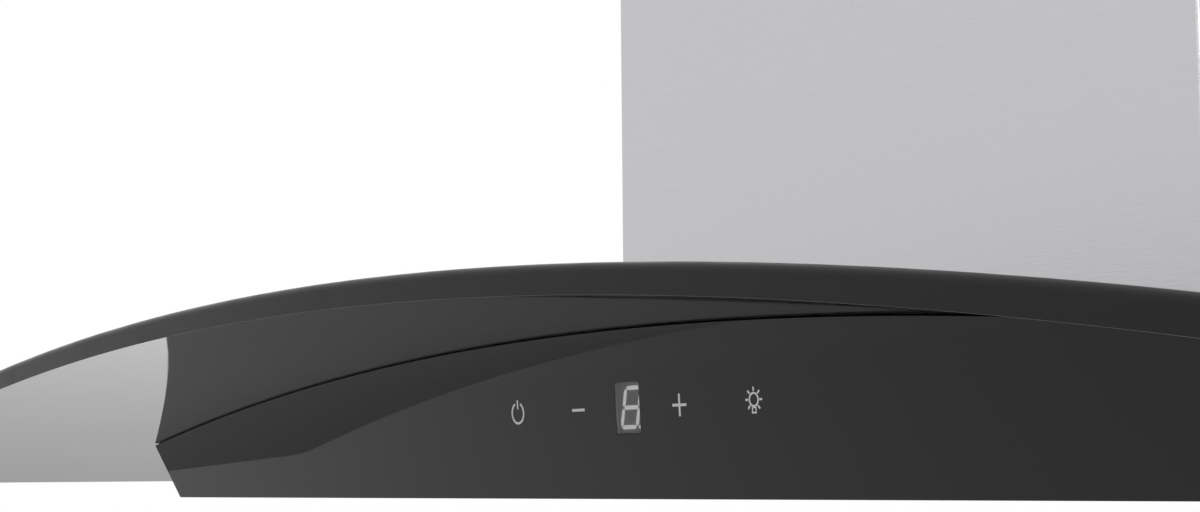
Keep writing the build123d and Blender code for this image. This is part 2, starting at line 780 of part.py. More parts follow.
for sign, hand in hands:
    centre_x = sign * opening_centre_x

    with BuildPart() as filter_frame:
        with BuildSketch(level(panel_recess)):
            with Locations((centre_x, filter_centre_y)):
                Rectangle(filter_width, filter_depth)
                Rectangle(filter_clear_width, filter_clear_depth, mode=Mode.SUBTRACT)
        extrude(amount=filter_thickness)
        with BuildSketch(level(panel_recess + filter_skin)):
            with Locations((centre_x, filter_centre_y)):
                Rectangle(channel_width, channel_depth)
        extrude(amount=filter_thickness - 2 * filter_skin, mode=Mode.SUBTRACT)
        with BuildSketch(level(panel_recess)):
            with Locations((centre_x, block_centre_y)):
                Rectangle(latch_block_width, latch_block_depth)
        extrude(amount=filter_thickness)
        with BuildSketch(level(pocket_floor)):
            with Locations((centre_x, -filter_front + pocket_depth / 2)):
                Rectangle(pocket_width, pocket_depth)
        extrude(amount=slider_height + 2 * slider_clearance, mode=Mode.SUBTRACT)
        with BuildSketch(level(panel_recess)):
            with Locations((centre_x, -filter_front + finger_slot_middle)):
                Rectangle(finger_slot_width, finger_slot_depth)
        extrude(amount=latch_floor, mode=Mode.SUBTRACT)
        with BuildSketch(side(centre_x - filter_width / 2)):
            with Locations((-pivot_distance, pivot_height)):
                Circle(filter_pin_radius + tight_clearance)
        extrude(amount=filter_pin_seat, mode=Mode.SUBTRACT)
        with BuildSketch(side(centre_x + filter_width / 2)):
            with Locations((-pivot_distance, pivot_height)):
                Circle(filter_pin_radius + tight_clearance)
        extrude(amount=-filter_pin_seat, mode=Mode.SUBTRACT)
    filter_frame.part.label = f"filter_frame_{hand}"
    export_step(filter_frame.part, f"parts/filter_frame_{hand}.step")

    with BuildPart() as filter_mesh:
        with BuildSketch(level(panel_recess + filter_skin + mesh_clearance)):
            with Locations((centre_x, filter_centre_y)):
                Rectangle(mesh_width, mesh_depth)
                with GridLocations(mesh_pitch_x, mesh_pitch_y, mesh_columns, mesh_rows):
                    add(mesh_diamond(), mode=Mode.SUBTRACT)
                with GridLocations(mesh_pitch_x, mesh_pitch_y, mesh_columns - 1, mesh_rows - 1):
                    add(mesh_diamond(), mode=Mode.SUBTRACT)
            with Locations((centre_x, block_centre_y)):
                Rectangle(
                    latch_block_width + 2 * mesh_clearance,
                    latch_block_depth + 2 * mesh_clearance,
                    mode=Mode.SUBTRACT,
                )
        extrude(amount=filter_thickness - 2 * filter_skin - 2 * mesh_clearance)
    filter_mesh.part.label = f"filter_mesh_{hand}"
    export_step(filter_mesh.part, f"parts/filter_mesh_{hand}.step")

    pin_length = filter_pin_seat + filter_side_gap + hinge_offset + hinge_plate + filter_side_gap
    with BuildPart() as filter_pins:
        with BuildSketch(side(centre_x - filter_width / 2 + filter_pin_seat)):
            with Locations((-pivot_distance, pivot_height)):
                Circle(filter_pin_radius)
        extrude(amount=-pin_length)
        with BuildSketch(side(centre_x + filter_width / 2 - filter_pin_seat)):
            with Locations((-pivot_distance, pivot_height)):
                Circle(filter_pin_radius)
        extrude(amount=pin_length)
    filter_pins.part.label = f"filter_pins_{hand}"
    export_step(filter_pins.part, f"parts/filter_pins_{hand}.step")

    with BuildPart() as filter_latch:
        with BuildSketch(level(slider_foot)):
            with Locations((centre_x, -filter_front + slider_depth / 2)):
                Rectangle(slider_width, slider_depth)
        extrude(amount=slider_height)
        with BuildSketch(level(slider_foot)):
            with Locations((centre_x, -filter_front - tongue_reach / 2)):
                Rectangle(tongue_width, tongue_reach)
        extrude(amount=tongue_thickness)
        with BuildSketch(level(finger_tab_bottom)):
            with Locations((centre_x, -filter_front + finger_tab_distance + finger_tab_thickness / 2)):
                Rectangle(tongue_width, finger_tab_thickness)
        extrude(amount=slider_foot - finger_tab_bottom)
    filter_latch.part.label = f"filter_latch_{hand}"
    export_step(filter_latch.part, f"parts/filter_latch_{hand}.step")

    with BuildPart() as latch_spring:
        with BuildSketch(facing(filter_front - slider_depth)):
            with Locations((centre_x, slider_foot + slider_height / 2)):
                Circle(latch_spring_radius)
        extrude(amount=slider_depth - pocket_depth)
    latch_spring.part.label = f"latch_spring_{hand}"
    export_step(latch_spring.part, f"parts/latch_spring_{hand}.step")

    keeper_step = opening_front + keeper_notch_depth
    with BuildPart() as latch_keeper:
        with BuildSketch(side(centre_x - tongue_width / 2)):
            with BuildLine():
                Polyline(
                    (-keeper_step - keeper_foot, panel_top),
                    (-keeper_step, panel_top),
                    (-keeper_step, panel_top - keeper_thickness),
                    (-keeper_step + keeper_lip, panel_top - keeper_thickness),
                    (-keeper_step + keeper_lip, panel_top),
                    (-keeper_step + keeper_thickness, panel_top),
                    (-keeper_step + keeper_thickness, panel_top + keeper_thickness),
                    (-keeper_step - keeper_foot, panel_top + keeper_thickness),
                    close=True,
                )
            make_face()
        extrude(amount=tongue_width)
    latch_keeper.part.label = f"latch_keeper_{hand}"
    export_step(latch_keeper.part, f"parts/latch_keeper_{hand}.step")

with BuildPart() as filter_hinges:
    for sign, hand in hands:
        for edge_x, outward in ((filter_web / 2, -1), (filter_web / 2 + filter_opening_width, 1)):
            plate_x = sign * (edge_x + outward * (hinge_offset + hinge_plate / 2))
            foot_x = plate_x + sign * outward * (hinge_foot - hinge_plate) / 2
            with BuildSketch(level(panel_top)):
                with Locations((foot_x, -pivot_distance)):
                    Rectangle(hinge_foot, hinge_width)
            extrude(amount=hinge_plate)
            with BuildSketch(level(panel_top)):
                with Locations((plate_x, -pivot_distance)):
                    Rectangle(hinge_plate, hinge_width)
            extrude(amount=pivot_height - panel_top + hinge_width / 2)
    with BuildSketch(side(-shoulder_half_width)):
        with Locations((-pivot_distance, pivot_height)):
            Circle(filter_pin_radius + running_clearance)
    extrude(amount=2 * shoulder_half_width, mode=Mode.SUBTRACT)
filter_hinges.part.label = "filter_hinges"
export_step(filter_hinges.part, "parts/filter_hinges.step")

# ---- Lamps ----

barrel_radius = lamp_hole_radius - lamp_barrel_clearance
barrel_bore = barrel_radius - bezel_wall
bezel_foot = panel_recess - bezel_flange
barrel_top = panel_recess + bezel_height
lamp_places = [(-lamp_distance, -lamp_from_wall), (lamp_distance, -lamp_from_wall)]

with BuildPart() as lamp_bezels:
    for foot, radius, height in (
        (bezel_foot, bezel_radius, bezel_flange),
        (bezel_foot, barrel_radius, barrel_top - bezel_foot),
    ):
        with BuildSketch(level(foot)):
            with Locations(*lamp_places):
                Circle(radius)
        extrude(amount=height)
    bezel_rims = lamp_bezels.edges().group_by(Axis.Z)[0]
    fillet(bezel_rims, radius=bezel_edge_radius)
    with BuildSketch(level(bezel_foot)):
        with Locations(*lamp_places):
            Circle(bezel_lip_radius)
    extrude(amount=bezel_lip_height, mode=Mode.SUBTRACT)
    with BuildSketch(level(bezel_foot + bezel_lip_height)):
        with Locations(*lamp_places):
            Circle(barrel_bore)
    extrude(amount=barrel_top - bezel_foot - bezel_lip_height, mode=Mode.SUBTRACT)
lamp_bezels.part.label = "lamp_bezels"
export_step(lamp_bezels.part, "parts/lamp_bezels.step")

lens_foot = bezel_foot + bezel_lip_height
with BuildPart() as lamp_lenses:
    with BuildSketch(level(lens_foot)):
        with Locations(*lamp_places):
            Circle(barrel_bore - lamp_lens_clearance)
    extrude(amount=lamp_lens_thickness)
lamp_lenses.part.label = "lamp_lenses"
export_step(lamp_lenses.part, "parts/lamp_lenses.step")

plug_foot = lens_foot + lamp_lens_thickness
flange_top = barrel_top + lamp_flange_thickness
with BuildPart() as lamp_bodies:
    for foot, radius, top in (
        (plug_foot, barrel_bore - lamp_plug_clearance, barrel_top),
        (barrel_top, lamp_flange_radius, flange_top),
        (flange_top, heat_sink_radius, flange_top + heat_sink_height),
    ):
        with BuildSketch(level(foot)):
            with Locations(*lamp_places):
                Circle(radius)
        extrude(amount=top - foot)
    with BuildSketch(level(flange_top)):
        with Locations(*lamp_places):
            with PolarLocations(heat_sink_radius, heat_sink_fins):
                Rectangle(2 * fin_slot_depth, fin_slot_width)
    extrude(amount=heat_sink_height, mode=Mode.SUBTRACT)
lamp_bodies.part.label = "lamp_bodies"
export_step(lamp_bodies.part, "parts/lamp_bodies.step")

# ---- Blower box, its screws and the glass clamps ----

with BuildPart() as blower_box:
    with BuildSketch(level(box_foot)):
        with Locations((0, -box_front / 2)):
            Rectangle(2 * box_half_width, box_front)
    extrude(amount=box_top - box_foot)
    with BuildSketch(level(box_foot)):
        with Locations((0, -box_front / 2)):
            Rectangle(2 * (box_half_width - box_sheet), box_front - 2 * box_sheet)
    extrude(amount=box_top - box_foot - box_sheet, mode=Mode.SUBTRACT)
    with BuildSketch(level(box_top - box_sheet)):
        with Locations((0, -duct_distance)):
            Circle(box_hole_radius)
            with PolarLocations(collar_screw_circle, collar_screws_count, collar_screw_angle):
                Circle(screw_radius + tight_clearance)
    extrude(amount=box_sheet, mode=Mode.SUBTRACT)
    with BuildSketch(facing(0)):
        with Locations((0, wall_hole_height)):
            with GridLocations(2 * wall_hole_half_spacing_x, 2 * wall_hole_half_spacing_z, 2, 2):
                Circle(wall_hole_radius)
    extrude(amount=box_sheet, mode=Mode.SUBTRACT)
    with BuildSketch(side(-box_half_width)):
        with Locations(*side_screw_places):
            Circle(screw_hole_radius)
    extrude(amount=2 * box_half_width, mode=Mode.SUBTRACT)
    with BuildSketch(facing(box_front - box_sheet)):
        with Locations(*front_screw_places):
            Circle(screw_hole_radius)
    extrude(amount=box_sheet, mode=Mode.SUBTRACT)
blower_box.part.label = "blower_box"
export_step(blower_box.part, "parts/blower_box.step")

clamp_low_radius = canopy_top_radius + clamp_pad_thickness
clamp_outer_x = box_half_width + clamp_reach
clamp_foot = arch_height(box_half_width, clamp_low_radius + clamp_thickness / 2)
with BuildPart() as glass_clamps:
    with BuildSketch(facing(clamp_back)):
        for sign, hand in hands:
            inner, outer = sorted((sign * box_half_width, sign * clamp_outer_x))
            add(arch_band(clamp_low_radius, clamp_low_radius + clamp_thickness, inner, outer))
            with Locations((sign * (box_half_width + clamp_thickness / 2), clamp_foot + clamp_height / 2)):
                Rectangle(clamp_thickness, clamp_height)
    extrude(amount=clamp_length)
    with BuildSketch(side(-clamp_outer_x)):
        with Locations(*side_screw_places):
            Circle(screw_hole_radius)
    extrude(amount=2 * clamp_outer_x, mode=Mode.SUBTRACT)
glass_clamps.part.label = "glass_clamps"
export_step(glass_clamps.part, "parts/glass_clamps.step")

with BuildPart() as clamp_pads:
    with BuildSketch(facing(clamp_back)):
        for sign, hand in hands:
            inner, outer = sorted((sign * (notch_half_width + canopy_top_edge_radius), sign * clamp_outer_x))
            add(arch_band(canopy_top_radius, clamp_low_radius, inner, outer))
    extrude(amount=clamp_length)
clamp_pads.part.label = "clamp_pads"
export_step(clamp_pads.part, "parts/clamp_pads.step")

clamp_face = box_half_width + clamp_thickness
clamp_screw_length = clamp_face - upstand_half_width + body_sheet + screw_overrun
left_outward = Plane(origin=side(-clamp_face).origin, x_dir=(0, -1, 0), z_dir=(-1, 0, 0))
with BuildPart() as box_screws:
    add(pan_screws(side(clamp_face), side_screw_places, clamp_screw_length))
    add(pan_screws(left_outward, [(-y, z) for y, z in side_screw_places], clamp_screw_length))
    add(pan_screws(facing(box_front), front_screw_places, clamp_screw_length - clamp_thickness))
box_screws.part.label = "box_screws"
export_step(box_screws.part, "parts/box_screws.step")

# ---- Blower scroll in two halves ----

wheel_distance = upstand_back + scroll_start_radius + scroll_wall + scroll_flange
wheel_y = -wheel_distance
first_centre = (wheel_y, wheel_height)
second_centre = (wheel_y - scroll_step, wheel_height)
third_centre = (wheel_y - scroll_step, wheel_height + scroll_step)
second_radius = scroll_start_radius + scroll_step
third_radius = second_radius + scroll_step


def on_circle(centre, radius, angle):
    return (centre[0] + radius * cos(radians(angle)), centre[1] + radius * sin(radians(angle)))


tongue_tip = on_circle(first_centre, scroll_start_radius, scroll_start_angle)
throat_front = third_centre[0] - third_radius
throat_back = tongue_tip[0]


def scroll_outline(top):
    """The scroll's inner outline, its throat carried up to a height."""
    with BuildSketch() as outline:
        with BuildLine():
            first = ThreePointArc(
                tongue_tip,
                on_circle(first_centre, scroll_start_radius, scroll_start_angle / 2),
                on_circle(first_centre, scroll_start_radius, 0),
            )
            second = ThreePointArc(
                first @ 1,
                on_circle(second_centre, second_radius, -45),
                on_circle(second_centre, second_radius, -90),
            )
            third = ThreePointArc(
                second @ 1,
                on_circle(third_centre, third_radius, -135),
                on_circle(third_centre, third_radius, -180),
            )
            Polyline(third @ 1, (throat_front, top), (throat_back, top), tongue_tip)
        make_face()
    return outline.sketch


flange_reach = scroll_wall + scroll_flange / 2
scroll_screw_places = [
    on_circle(first_centre, scroll_start_radius + flange_reach, 0),
    on_circle(first_centre, scroll_start_radius + flange_reach, 60),
    on_circle(second_centre, second_radius + flange_reach, -50),
    on_circle(third_centre, third_radius + flange_reach, -130),
    (throat_front - flange_reach, wheel_height + scroll_step),
    (throat_front - flange_reach, scroll_top - scroll_flange),
]

for sign, hand in hands:
    with BuildPart() as volute:
        with BuildSketch(side(0)):
            add(scroll_outline(scroll_top))
            offset(amount=scroll_wall)
        extrude(amount=sign * (scroll_half_width + scroll_wall))
        with BuildSketch(side(0)):
            add(scroll_outline(scroll_top))
            offset(amount=scroll_wall + scroll_flange)
        extrude(amount=sign * scroll_wall)
        with BuildSketch(side(0)):
            add(scroll_outline(scroll_top + scroll_start_radius))
        extrude(amount=sign * scroll_half_width, mode=Mode.SUBTRACT)
        with BuildSketch(level(scroll_top)):
            with Locations((0, -box_front / 2)):
                Rectangle(2 * box_front, 2 * box_front)
        extrude(amount=box_top - scroll_top, mode=Mode.SUBTRACT)
        with BuildSketch(side(0)):
            with Locations(first_centre):
                Circle(inlet_radius)
            with Locations(*scroll_screw_places):
                Circle(small_screw_radius + tight_clearance)
        extrude(amount=sign * (scroll_half_width + scroll_wall), mode=Mode.SUBTRACT)
    volute.part.label = f"volute_{hand}"
    export_step(volute.part, f"parts/volute_{hand}.step")

with BuildPart() as volute_screws:
    add(
        pan_screws(
            side(scroll_wall),
            scroll_screw_places,
            2 * scroll_wall + screw_overrun,
            small_screw_radius,
            small_screw_head_radius,
        )
    )
volute_screws.part.label = "volute_screws"
export_step(volute_screws.part, "parts/volute_screws.step")

# ---- Outlet: from the scroll's square throat to the round collar ----

throat_depth = throat_back - throat_front
throat_centre_y = (throat_front + throat_back) / 2
outlet_top = box_top - box_sheet
outlet_bore = collar_radius - collar_wall
with BuildPart() as outlet_bore_solid:
    with BuildSketch(level(scroll_top)):
        with Locations((0, throat_centre_y)):
            RectangleRounded(2 * scroll_half_width, throat_depth, outlet_corner_radius)
    with BuildSketch(level(outlet_top)):
        with Locations((0, -duct_distance)):
            Circle(outlet_bore)
    loft()

with BuildPart() as outlet_transition:
    with BuildSketch(level(scroll_top)):
        with Locations((0, throat_centre_y)):
            RectangleRounded(
                2 * (scroll_half_width + outlet_wall),
                throat_depth + 2 * outlet_wall,
                outlet_corner_radius + outlet_wall,
            )
    with BuildSketch(level(outlet_top)):
        with Locations((0, -duct_distance)):
            Circle(outlet_bore + outlet_wall)
    loft()
    add(outlet_bore_solid.part, mode=Mode.SUBTRACT)
outlet_transition.part.label = "outlet_transition"
export_step(outlet_transition.part, "parts/outlet_transition.step")

# ---- Wheel, shaft and motor ----

with BuildPart() as impeller:
    with BuildSketch(side(-wheel_half_width)):
        with Locations(first_centre):
            with PolarLocations(wheel_radius - wheel_ring_width / 2, blade_count):
                Rectangle(blade_chord, blade_thickness, rotation=blade_angle)
    extrude(amount=2 * wheel_half_width)
    for ring_x in (-wheel_half_width, wheel_half_width - wheel_ring_thickness):
        with BuildSketch(side(ring_x)):
            with Locations(first_centre):
                Circle(wheel_radius)
                Circle(wheel_radius - wheel_ring_width, mode=Mode.SUBTRACT)
        extrude(amount=wheel_ring_thickness)
    with BuildSketch(side(-wheel_ring_thickness / 2)):
        with Locations(first_centre):
            Circle(wheel_radius)
    extrude(amount=wheel_ring_thickness)
    with BuildSketch(side(0)):
        with Locations(first_centre):
            Circle(hub_radius)
    extrude(amount=hub_reach)
    with BuildSketch(side(-wheel_ring_thickness)):
        with Locations(first_centre):
            Circle(shaft_radius + tight_clearance)
    extrude(amount=hub_reach + wheel_ring_thickness, mode=Mode.SUBTRACT)
impeller.part.label = "impeller"
export_step(impeller.part, "parts/impeller.step")

with BuildPart() as motor_shaft:
    with BuildSketch(side(-motor_outer_end - shaft_overhang)):
        with Locations(first_centre):
            Circle(shaft_radius)
    extrude(amount=motor_outer_end + shaft_overhang + hub_reach)
motor_shaft.part.label = "motor_shaft"
export_step(motor_shaft.part, "parts/motor_shaft.step")

with BuildPart() as motor_can:
    with BuildSketch(side(-motor_outer_end)):
        with Locations(first_centre):
            Circle(motor_radius)
            Circle(bearing_radius, mode=Mode.SUBTRACT)
    extrude(amount=motor_outer_end - motor_inner_end)
    with BuildSketch(side(-motor_outer_end + motor_end_wall)):
        with Locations(first_centre):
            Circle(motor_radius - motor_wall)
    extrude(amount=motor_outer_end - motor_inner_end - 2 * motor_end_wall, mode=Mode.SUBTRACT)
motor_can.part.label = "motor_can"
export_step(motor_can.part, "parts/motor_can.step")

with BuildPart() as motor_bearings:
    for bearing_x in (-motor_outer_end, -motor_inner_end - motor_end_wall):
        with BuildSketch(side(bearing_x)):
            with Locations(first_centre):
                Circle(bearing_radius - tight_clearance)
                Circle(shaft_radius + running_clearance, mode=Mode.SUBTRACT)
        extrude(amount=motor_end_wall)
motor_bearings.part.label = "motor_bearings"
export_step(motor_bearings.part, "parts/motor_bearings.step")

winding_x = -motor_outer_end + motor_end_wall + winding_gap
winding_length = motor_outer_end - motor_inner_end - 2 * motor_end_wall - 2 * winding_gap
with BuildPart() as motor_rotor:
    with BuildSketch(side(winding_x)):
        with Locations(first_centre):
            Circle(rotor_radius)
            Circle(shaft_radius + tight_clearance, mode=Mode.SUBTRACT)
    extrude(amount=winding_length)
motor_rotor.part.label = "motor_rotor"
export_step(motor_rotor.part, "parts/motor_rotor.step")

with BuildPart() as motor_stator:
    with BuildSketch(side(winding_x)):
        with Locations(first_centre):
            Circle(motor_radius - motor_wall - tight_clearance)
            Circle(stator_bore, mode=Mode.SUBTRACT)
    extrude(amount=winding_length)
motor_stator.part.label = "motor_stator"
export_step(motor_stator.part, "parts/motor_stator.step")

arm_centre_radius = (bracket_hole_radius + bracket_arm_radius) / 2 + bracket_leg / 2
arm_length = bracket_arm_radius - bracket_hole_radius - bracket_leg
with BuildPart() as motor_bracket:
    with BuildSketch(side(-motor_outer_end)):
        with Locations(first_centre):
            Circle(bracket_ring_radius)
            with PolarLocations(arm_centre_radius, bracket_arms):
                Rectangle(arm_length, bracket_arm_width)
            Circle(bracket_hole_radius, mode=Mode.SUBTRACT)
    extrude(amount=-bracket_thickness)
    with BuildSketch(side(-motor_outer_end)):
        with Locations(first_centre):
            with PolarLocations(bracket_arm_radius - bracket_leg / 2, bracket_arms):
                Rectangle(bracket_leg, bracket_arm_width)
    extrude(amount=motor_outer_end - scroll_half_width - scroll_wall)
motor_bracket.part.label = "motor_bracket"
export_step(motor_bracket.part, "parts/motor_bracket.step")

# ---- Duct collar with its two backdraft flaps ----

ledge_top = box_top + ledge_height
flap_axis_height = ledge_top + flap_clearance + flap_barrel_radius
collar_bore = collar_radius - collar_wall
duct_place = (0, -duct_distance)

with BuildPart() as outlet_collar:
    for foot, radius, height in (
        (box_top, collar_flange_radius, collar_flange_thickness),
        (box_top, collar_radius, collar_height),
    ):
        with BuildSketch(level(foot)):
            with Locations(duct_place):
                Circle(radius)
        extrude(amount=height)
    with BuildSketch(level(box_top)):
        with Locations(duct_place):
            Circle(collar_bore)
    extrude(amount=collar_height, mode=Mode.SUBTRACT)
    with BuildSketch(level(ledge_top)):
        with Locations(duct_place):
            Circle(collar_bore)
            Circle(collar_bore - ledge_width, mode=Mode.SUBTRACT)
    extrude(amount=-ledge_thickness)
    with BuildSketch(level(ledge_top)):
        with Locations(duct_place):
            Rectangle(2 * collar_bore, crossbar_width)
            Circle(collar_bore, mode=Mode.INTERSECT)
    extrude(amount=-crossbar_thickness)
    with BuildSketch(level(box_top)):
        with Locations(duct_place):
            with PolarLocations(collar_screw_circle, collar_screws_count, collar_screw_angle):
                Circle(screw_hole_radius)
    extrude(amount=collar_flange_thickness, mode=Mode.SUBTRACT)
    with BuildSketch(side(-collar_radius)):
        with Locations((-duct_distance, flap_axis_height)):
            with GridLocations(2 * flap_axis_offset, 1, 2, 1):
                Circle(flap_pin_radius + tight_clearance)
    extrude(amount=2 * collar_radius, mode=Mode.SUBTRACT)
outlet_collar.part.label = "outlet_collar"
export_step(outlet_collar.part, "parts/outlet_collar.step")

collar_face = level(box_top + collar_flange_thickness)
screw_ring = [
    on_circle((0, -duct_distance), collar_screw_circle, collar_screw_angle + turn * 360 / collar_screws_count)
    for turn in range(collar_screws_count)
]
with BuildPart() as collar_screws:
    add(pan_screws(collar_face, screw_ring, collar_flange_thickness + box_sheet + screw_overrun))
collar_screws.part.label = "collar_screws"
export_step(collar_screws.part, "parts/collar_screws.step")

flap_radius = collar_bore - flap_rim_gap
flap_foot = ledge_top + flap_clearance
for sign, place in ((-1, "front"), (1, "rear")):
    axis_y = -duct_distance + sign * flap_axis_offset
    with BuildPart() as damper_flap:
        with BuildSketch(level(flap_foot)):
            with Locations(duct_place):
                Circle(flap_radius)
            with Locations((0, axis_y + sign * flap_radius)):
                Rectangle(2 * flap_radius, 2 * flap_radius, mode=Mode.INTERSECT)
        extrude(amount=flap_thickness)
        with BuildSketch(side(-flap_barrel_half_length)):
            with Locations((axis_y, flap_axis_height)):
                Circle(flap_barrel_radius)
        extrude(amount=2 * flap_barrel_half_length)
        with BuildSketch(side(-collar_radius)):
            with Locations((axis_y, flap_axis_height)):
                Circle(flap_pin_radius + running_clearance)
        extrude(amount=2 * collar_radius, mode=Mode.SUBTRACT)
    damper_flap.part.label = f"damper_flap_{place}"
    export_step(damper_flap.part, f"parts/damper_flap_{place}.step")

with BuildPart() as damper_pins:
    with BuildSketch(side(-flap_pin_half_length)):
        with Locations((-duct_distance, flap_axis_height)):
            with GridLocations(2 * flap_axis_offset, 1, 2, 1):
                Circle(flap_pin_radius)
    extrude(amount=2 * flap_pin_half_length)
damper_pins.part.label = "damper_pins"
export_step(damper_pins.part, "parts/damper_pins.step")

# ---- Electrical parts on top of the blower box ----

electrical_width = upstand_half_width - electrical_margin - electrical_inner_x
electrical_x = electrical_inner_x + electrical_width / 2
junction_place = (electrical_x, -electrical_distance)
with BuildPart() as junction_box:
    with BuildSketch(level(box_top)):
        with Locations(junction_place):
            Rectangle(electrical_width, junction_depth)
    extrude(amount=junction_height)
    fillet(junction_box.edges().filter_by(Axis.Z), radius=junction_wall)
    with BuildSketch(level(box_top)):
        with Locations(junction_place):
            Rectangle(electrical_width - 2 * junction_wall, junction_depth - 2 * junction_wall)
    extrude(amount=junction_height - junction_wall, mode=Mode.SUBTRACT)
    with BuildSketch(level(box_top)):
        with Locations(junction_place):
            Circle(gland_thread_radius + tight_clearance)
    extrude(amount=junction_height, mode=Mode.SUBTRACT)
junction_box.part.label = "junction_box"
export_step(junction_box.part, "parts/junction_box.step")

with BuildPart() as terminal_block:
    with BuildSketch(level(box_top)):
        with Locations(junction_place):
            Rectangle(electrical_width - 2 * terminal_side_space, terminal_depth)
    extrude(amount=terminal_height)
terminal_block.part.label = "terminal_block"
export_step(terminal_block.part, "parts/terminal_block.step")

junction_top = box_top + junction_height
with BuildPart() as cable_gland:
    with BuildSketch(level(junction_top - 2 * junction_wall)):
        with Locations(junction_place):
            Circle(gland_thread_radius)
    extrude(amount=2 * junction_wall)
    with BuildSketch(level(junction_top)):
        with Locations(junction_place):
            RegularPolygon(gland_nut_radius, 6)
    extrude(amount=gland_nut_height)
    with BuildSketch(level(junction_top + gland_nut_height)):
        with Locations(junction_place):
            Circle(gland_dome_radius)
    extrude(amount=gland_dome_height, taper=gland_dome_taper)
    with BuildSketch(level(junction_top - 2 * junction_wall)):
        with Locations(junction_place):
            Circle(gland_hole_radius)
    extrude(amount=2 * junction_wall + gland_nut_height + gland_dome_height, mode=Mode.SUBTRACT)
cable_gland.part.label = "cable_gland"
export_step(cable_gland.part, "parts/cable_gland.step")

with BuildPart() as lamp_driver:
    with BuildSketch(level(box_top)):
        with Locations((-electrical_x, -electrical_distance)):
            Rectangle(electrical_width, driver_depth)
    extrude(amount=driver_height)
    fillet(lamp_driver.edges().filter_by(Axis.Z), radius=junction_wall)
lamp_driver.part.label = "lamp_driver"
export_step(lamp_driver.part, "parts/lamp_driver.step")

capacitor_place = (capacitor_inset - upstand_half_width, -capacitor_distance)
with BuildPart() as capacitor:
    for foot, radius, height in (
        (box_top, capacitor_radius, capacitor_height),
        (box_top + capacitor_height, capacitor_stud_radius, capacitor_stud_height),
    ):
        with BuildSketch(level(foot)):
            with Locations(capacitor_place):
                Circle(radius)
        extrude(amount=height)
capacitor.part.label = "capacitor"
export_step(capacitor.part, "parts/capacitor.step")

# ---- Chimney covers ----

chimney_front = body_depth - chimney_setback
chimney_half_width = chimney_width / 2
upper_inset = chimney_sheet + chimney_slide_gap
upper_half_width = chimney_half_width - upper_inset
upper_front = chimney_front - upper_inset
upper_wall_gap = lower_chimney_wall_gap + upper_inset


def cover_section(half_width, front, back):
    """Plan of a cover: front, two sides and two short returns at the wall."""
    with BuildSketch() as section:
        with Locations((0, -(front + back) / 2)):
            Rectangle(2 * half_width, front - back)
        front_corners = section.vertices().group_by(Axis.Y)[0]
        fillet(front_corners, radius=chimney_bend_radius)
        with Locations((0, -(front + back) / 2)):
            Rectangle(2 * (half_width - chimney_sheet), front - back - 2 * chimney_sheet, mode=Mode.SUBTRACT)
        with Locations((0, -back)):
            Rectangle(2 * (half_width - chimney_return), 4 * chimney_sheet, mode=Mode.SUBTRACT)
    return section.sketch


chimney_bracket_mid = chimney_bracket_back + chimney_bracket_depth / 2
chimney_screw_height = chimney_bracket_foot + chimney_bracket_height / 2
chimney_screw_places = [(-chimney_bracket_mid, chimney_screw_height)]
with BuildPart() as lower_chimney:
    with BuildSketch(level(0)):
        add(cover_section(chimney_half_width, chimney_front, lower_chimney_wall_gap))
    extrude(amount=lower_chimney_top)
    with BuildSketch(facing(0)):
        with Locations((0, arch_centre)):
            Circle(canopy_top_radius + chimney_glass_gap)
    extrude(amount=2 * chimney_front, mode=Mode.SUBTRACT)
    with BuildSketch(side(-chimney_half_width)):
        with Locations(*chimney_screw_places):
            Circle(screw_hole_radius)
    extrude(amount=chimney_width, mode=Mode.SUBTRACT)
lower_chimney.part.label = "lower_chimney"
export_step(lower_chimney.part, "parts/lower_chimney.step")

top_bracket_top = upper_chimney_top - top_bracket_drop
top_screw_height = top_bracket_top - top_bracket_height / 2
top_screw_places = [(-top_bracket_screw_distance, top_screw_height)]
vent_centre = upper_chimney_top - vent_top_distance - (vent_rows - 1) * vent_pitch / 2
with BuildPart() as upper_chimney:
    with BuildSketch(level(upper_chimney_foot)):
        add(cover_section(upper_half_width, upper_front, upper_wall_gap))
    extrude(amount=upper_chimney_top - upper_chimney_foot)
    with BuildSketch(side(-upper_half_width)):
        with Locations((-(upper_front + upper_wall_gap) / 2, vent_centre)):
            with GridLocations(1, vent_pitch, 1, vent_rows):
                SlotOverall(vent_length, vent_width)
        with Locations(*top_screw_places):
            Circle(screw_hole_radius)
    extrude(amount=2 * upper_half_width, mode=Mode.SUBTRACT)
upper_chimney.part.label = "upper_chimney"
export_step(upper_chimney.part, "parts/upper_chimney.step")

# ---- Brackets that hold the two covers, and their screws ----

bracket_outer_x = chimney_half_width - chimney_sheet
with BuildPart() as chimney_brackets:
    with BuildSketch(level(chimney_bracket_foot)):
        for sign, hand in hands:
            bracket_x = sign * (box_half_width + bracket_outer_x) / 2
            with Locations((bracket_x, -chimney_bracket_mid)):
                Rectangle(bracket_outer_x - box_half_width, chimney_bracket_depth)
            with Locations((bracket_x, -chimney_bracket_mid + bracket_sheet)):
                Rectangle(
                    bracket_outer_x - box_half_width - 2 * bracket_sheet,
                    chimney_bracket_depth,
                    mode=Mode.SUBTRACT,
                )
    extrude(amount=chimney_bracket_height)
    with BuildSketch(side(-chimney_half_width)):
        with Locations(*chimney_screw_places):
            Circle(screw_radius + tight_clearance)
    extrude(amount=chimney_width, mode=Mode.SUBTRACT)
chimney_brackets.part.label = "chimney_brackets"
export_step(chimney_brackets.part, "parts/chimney_brackets.step")

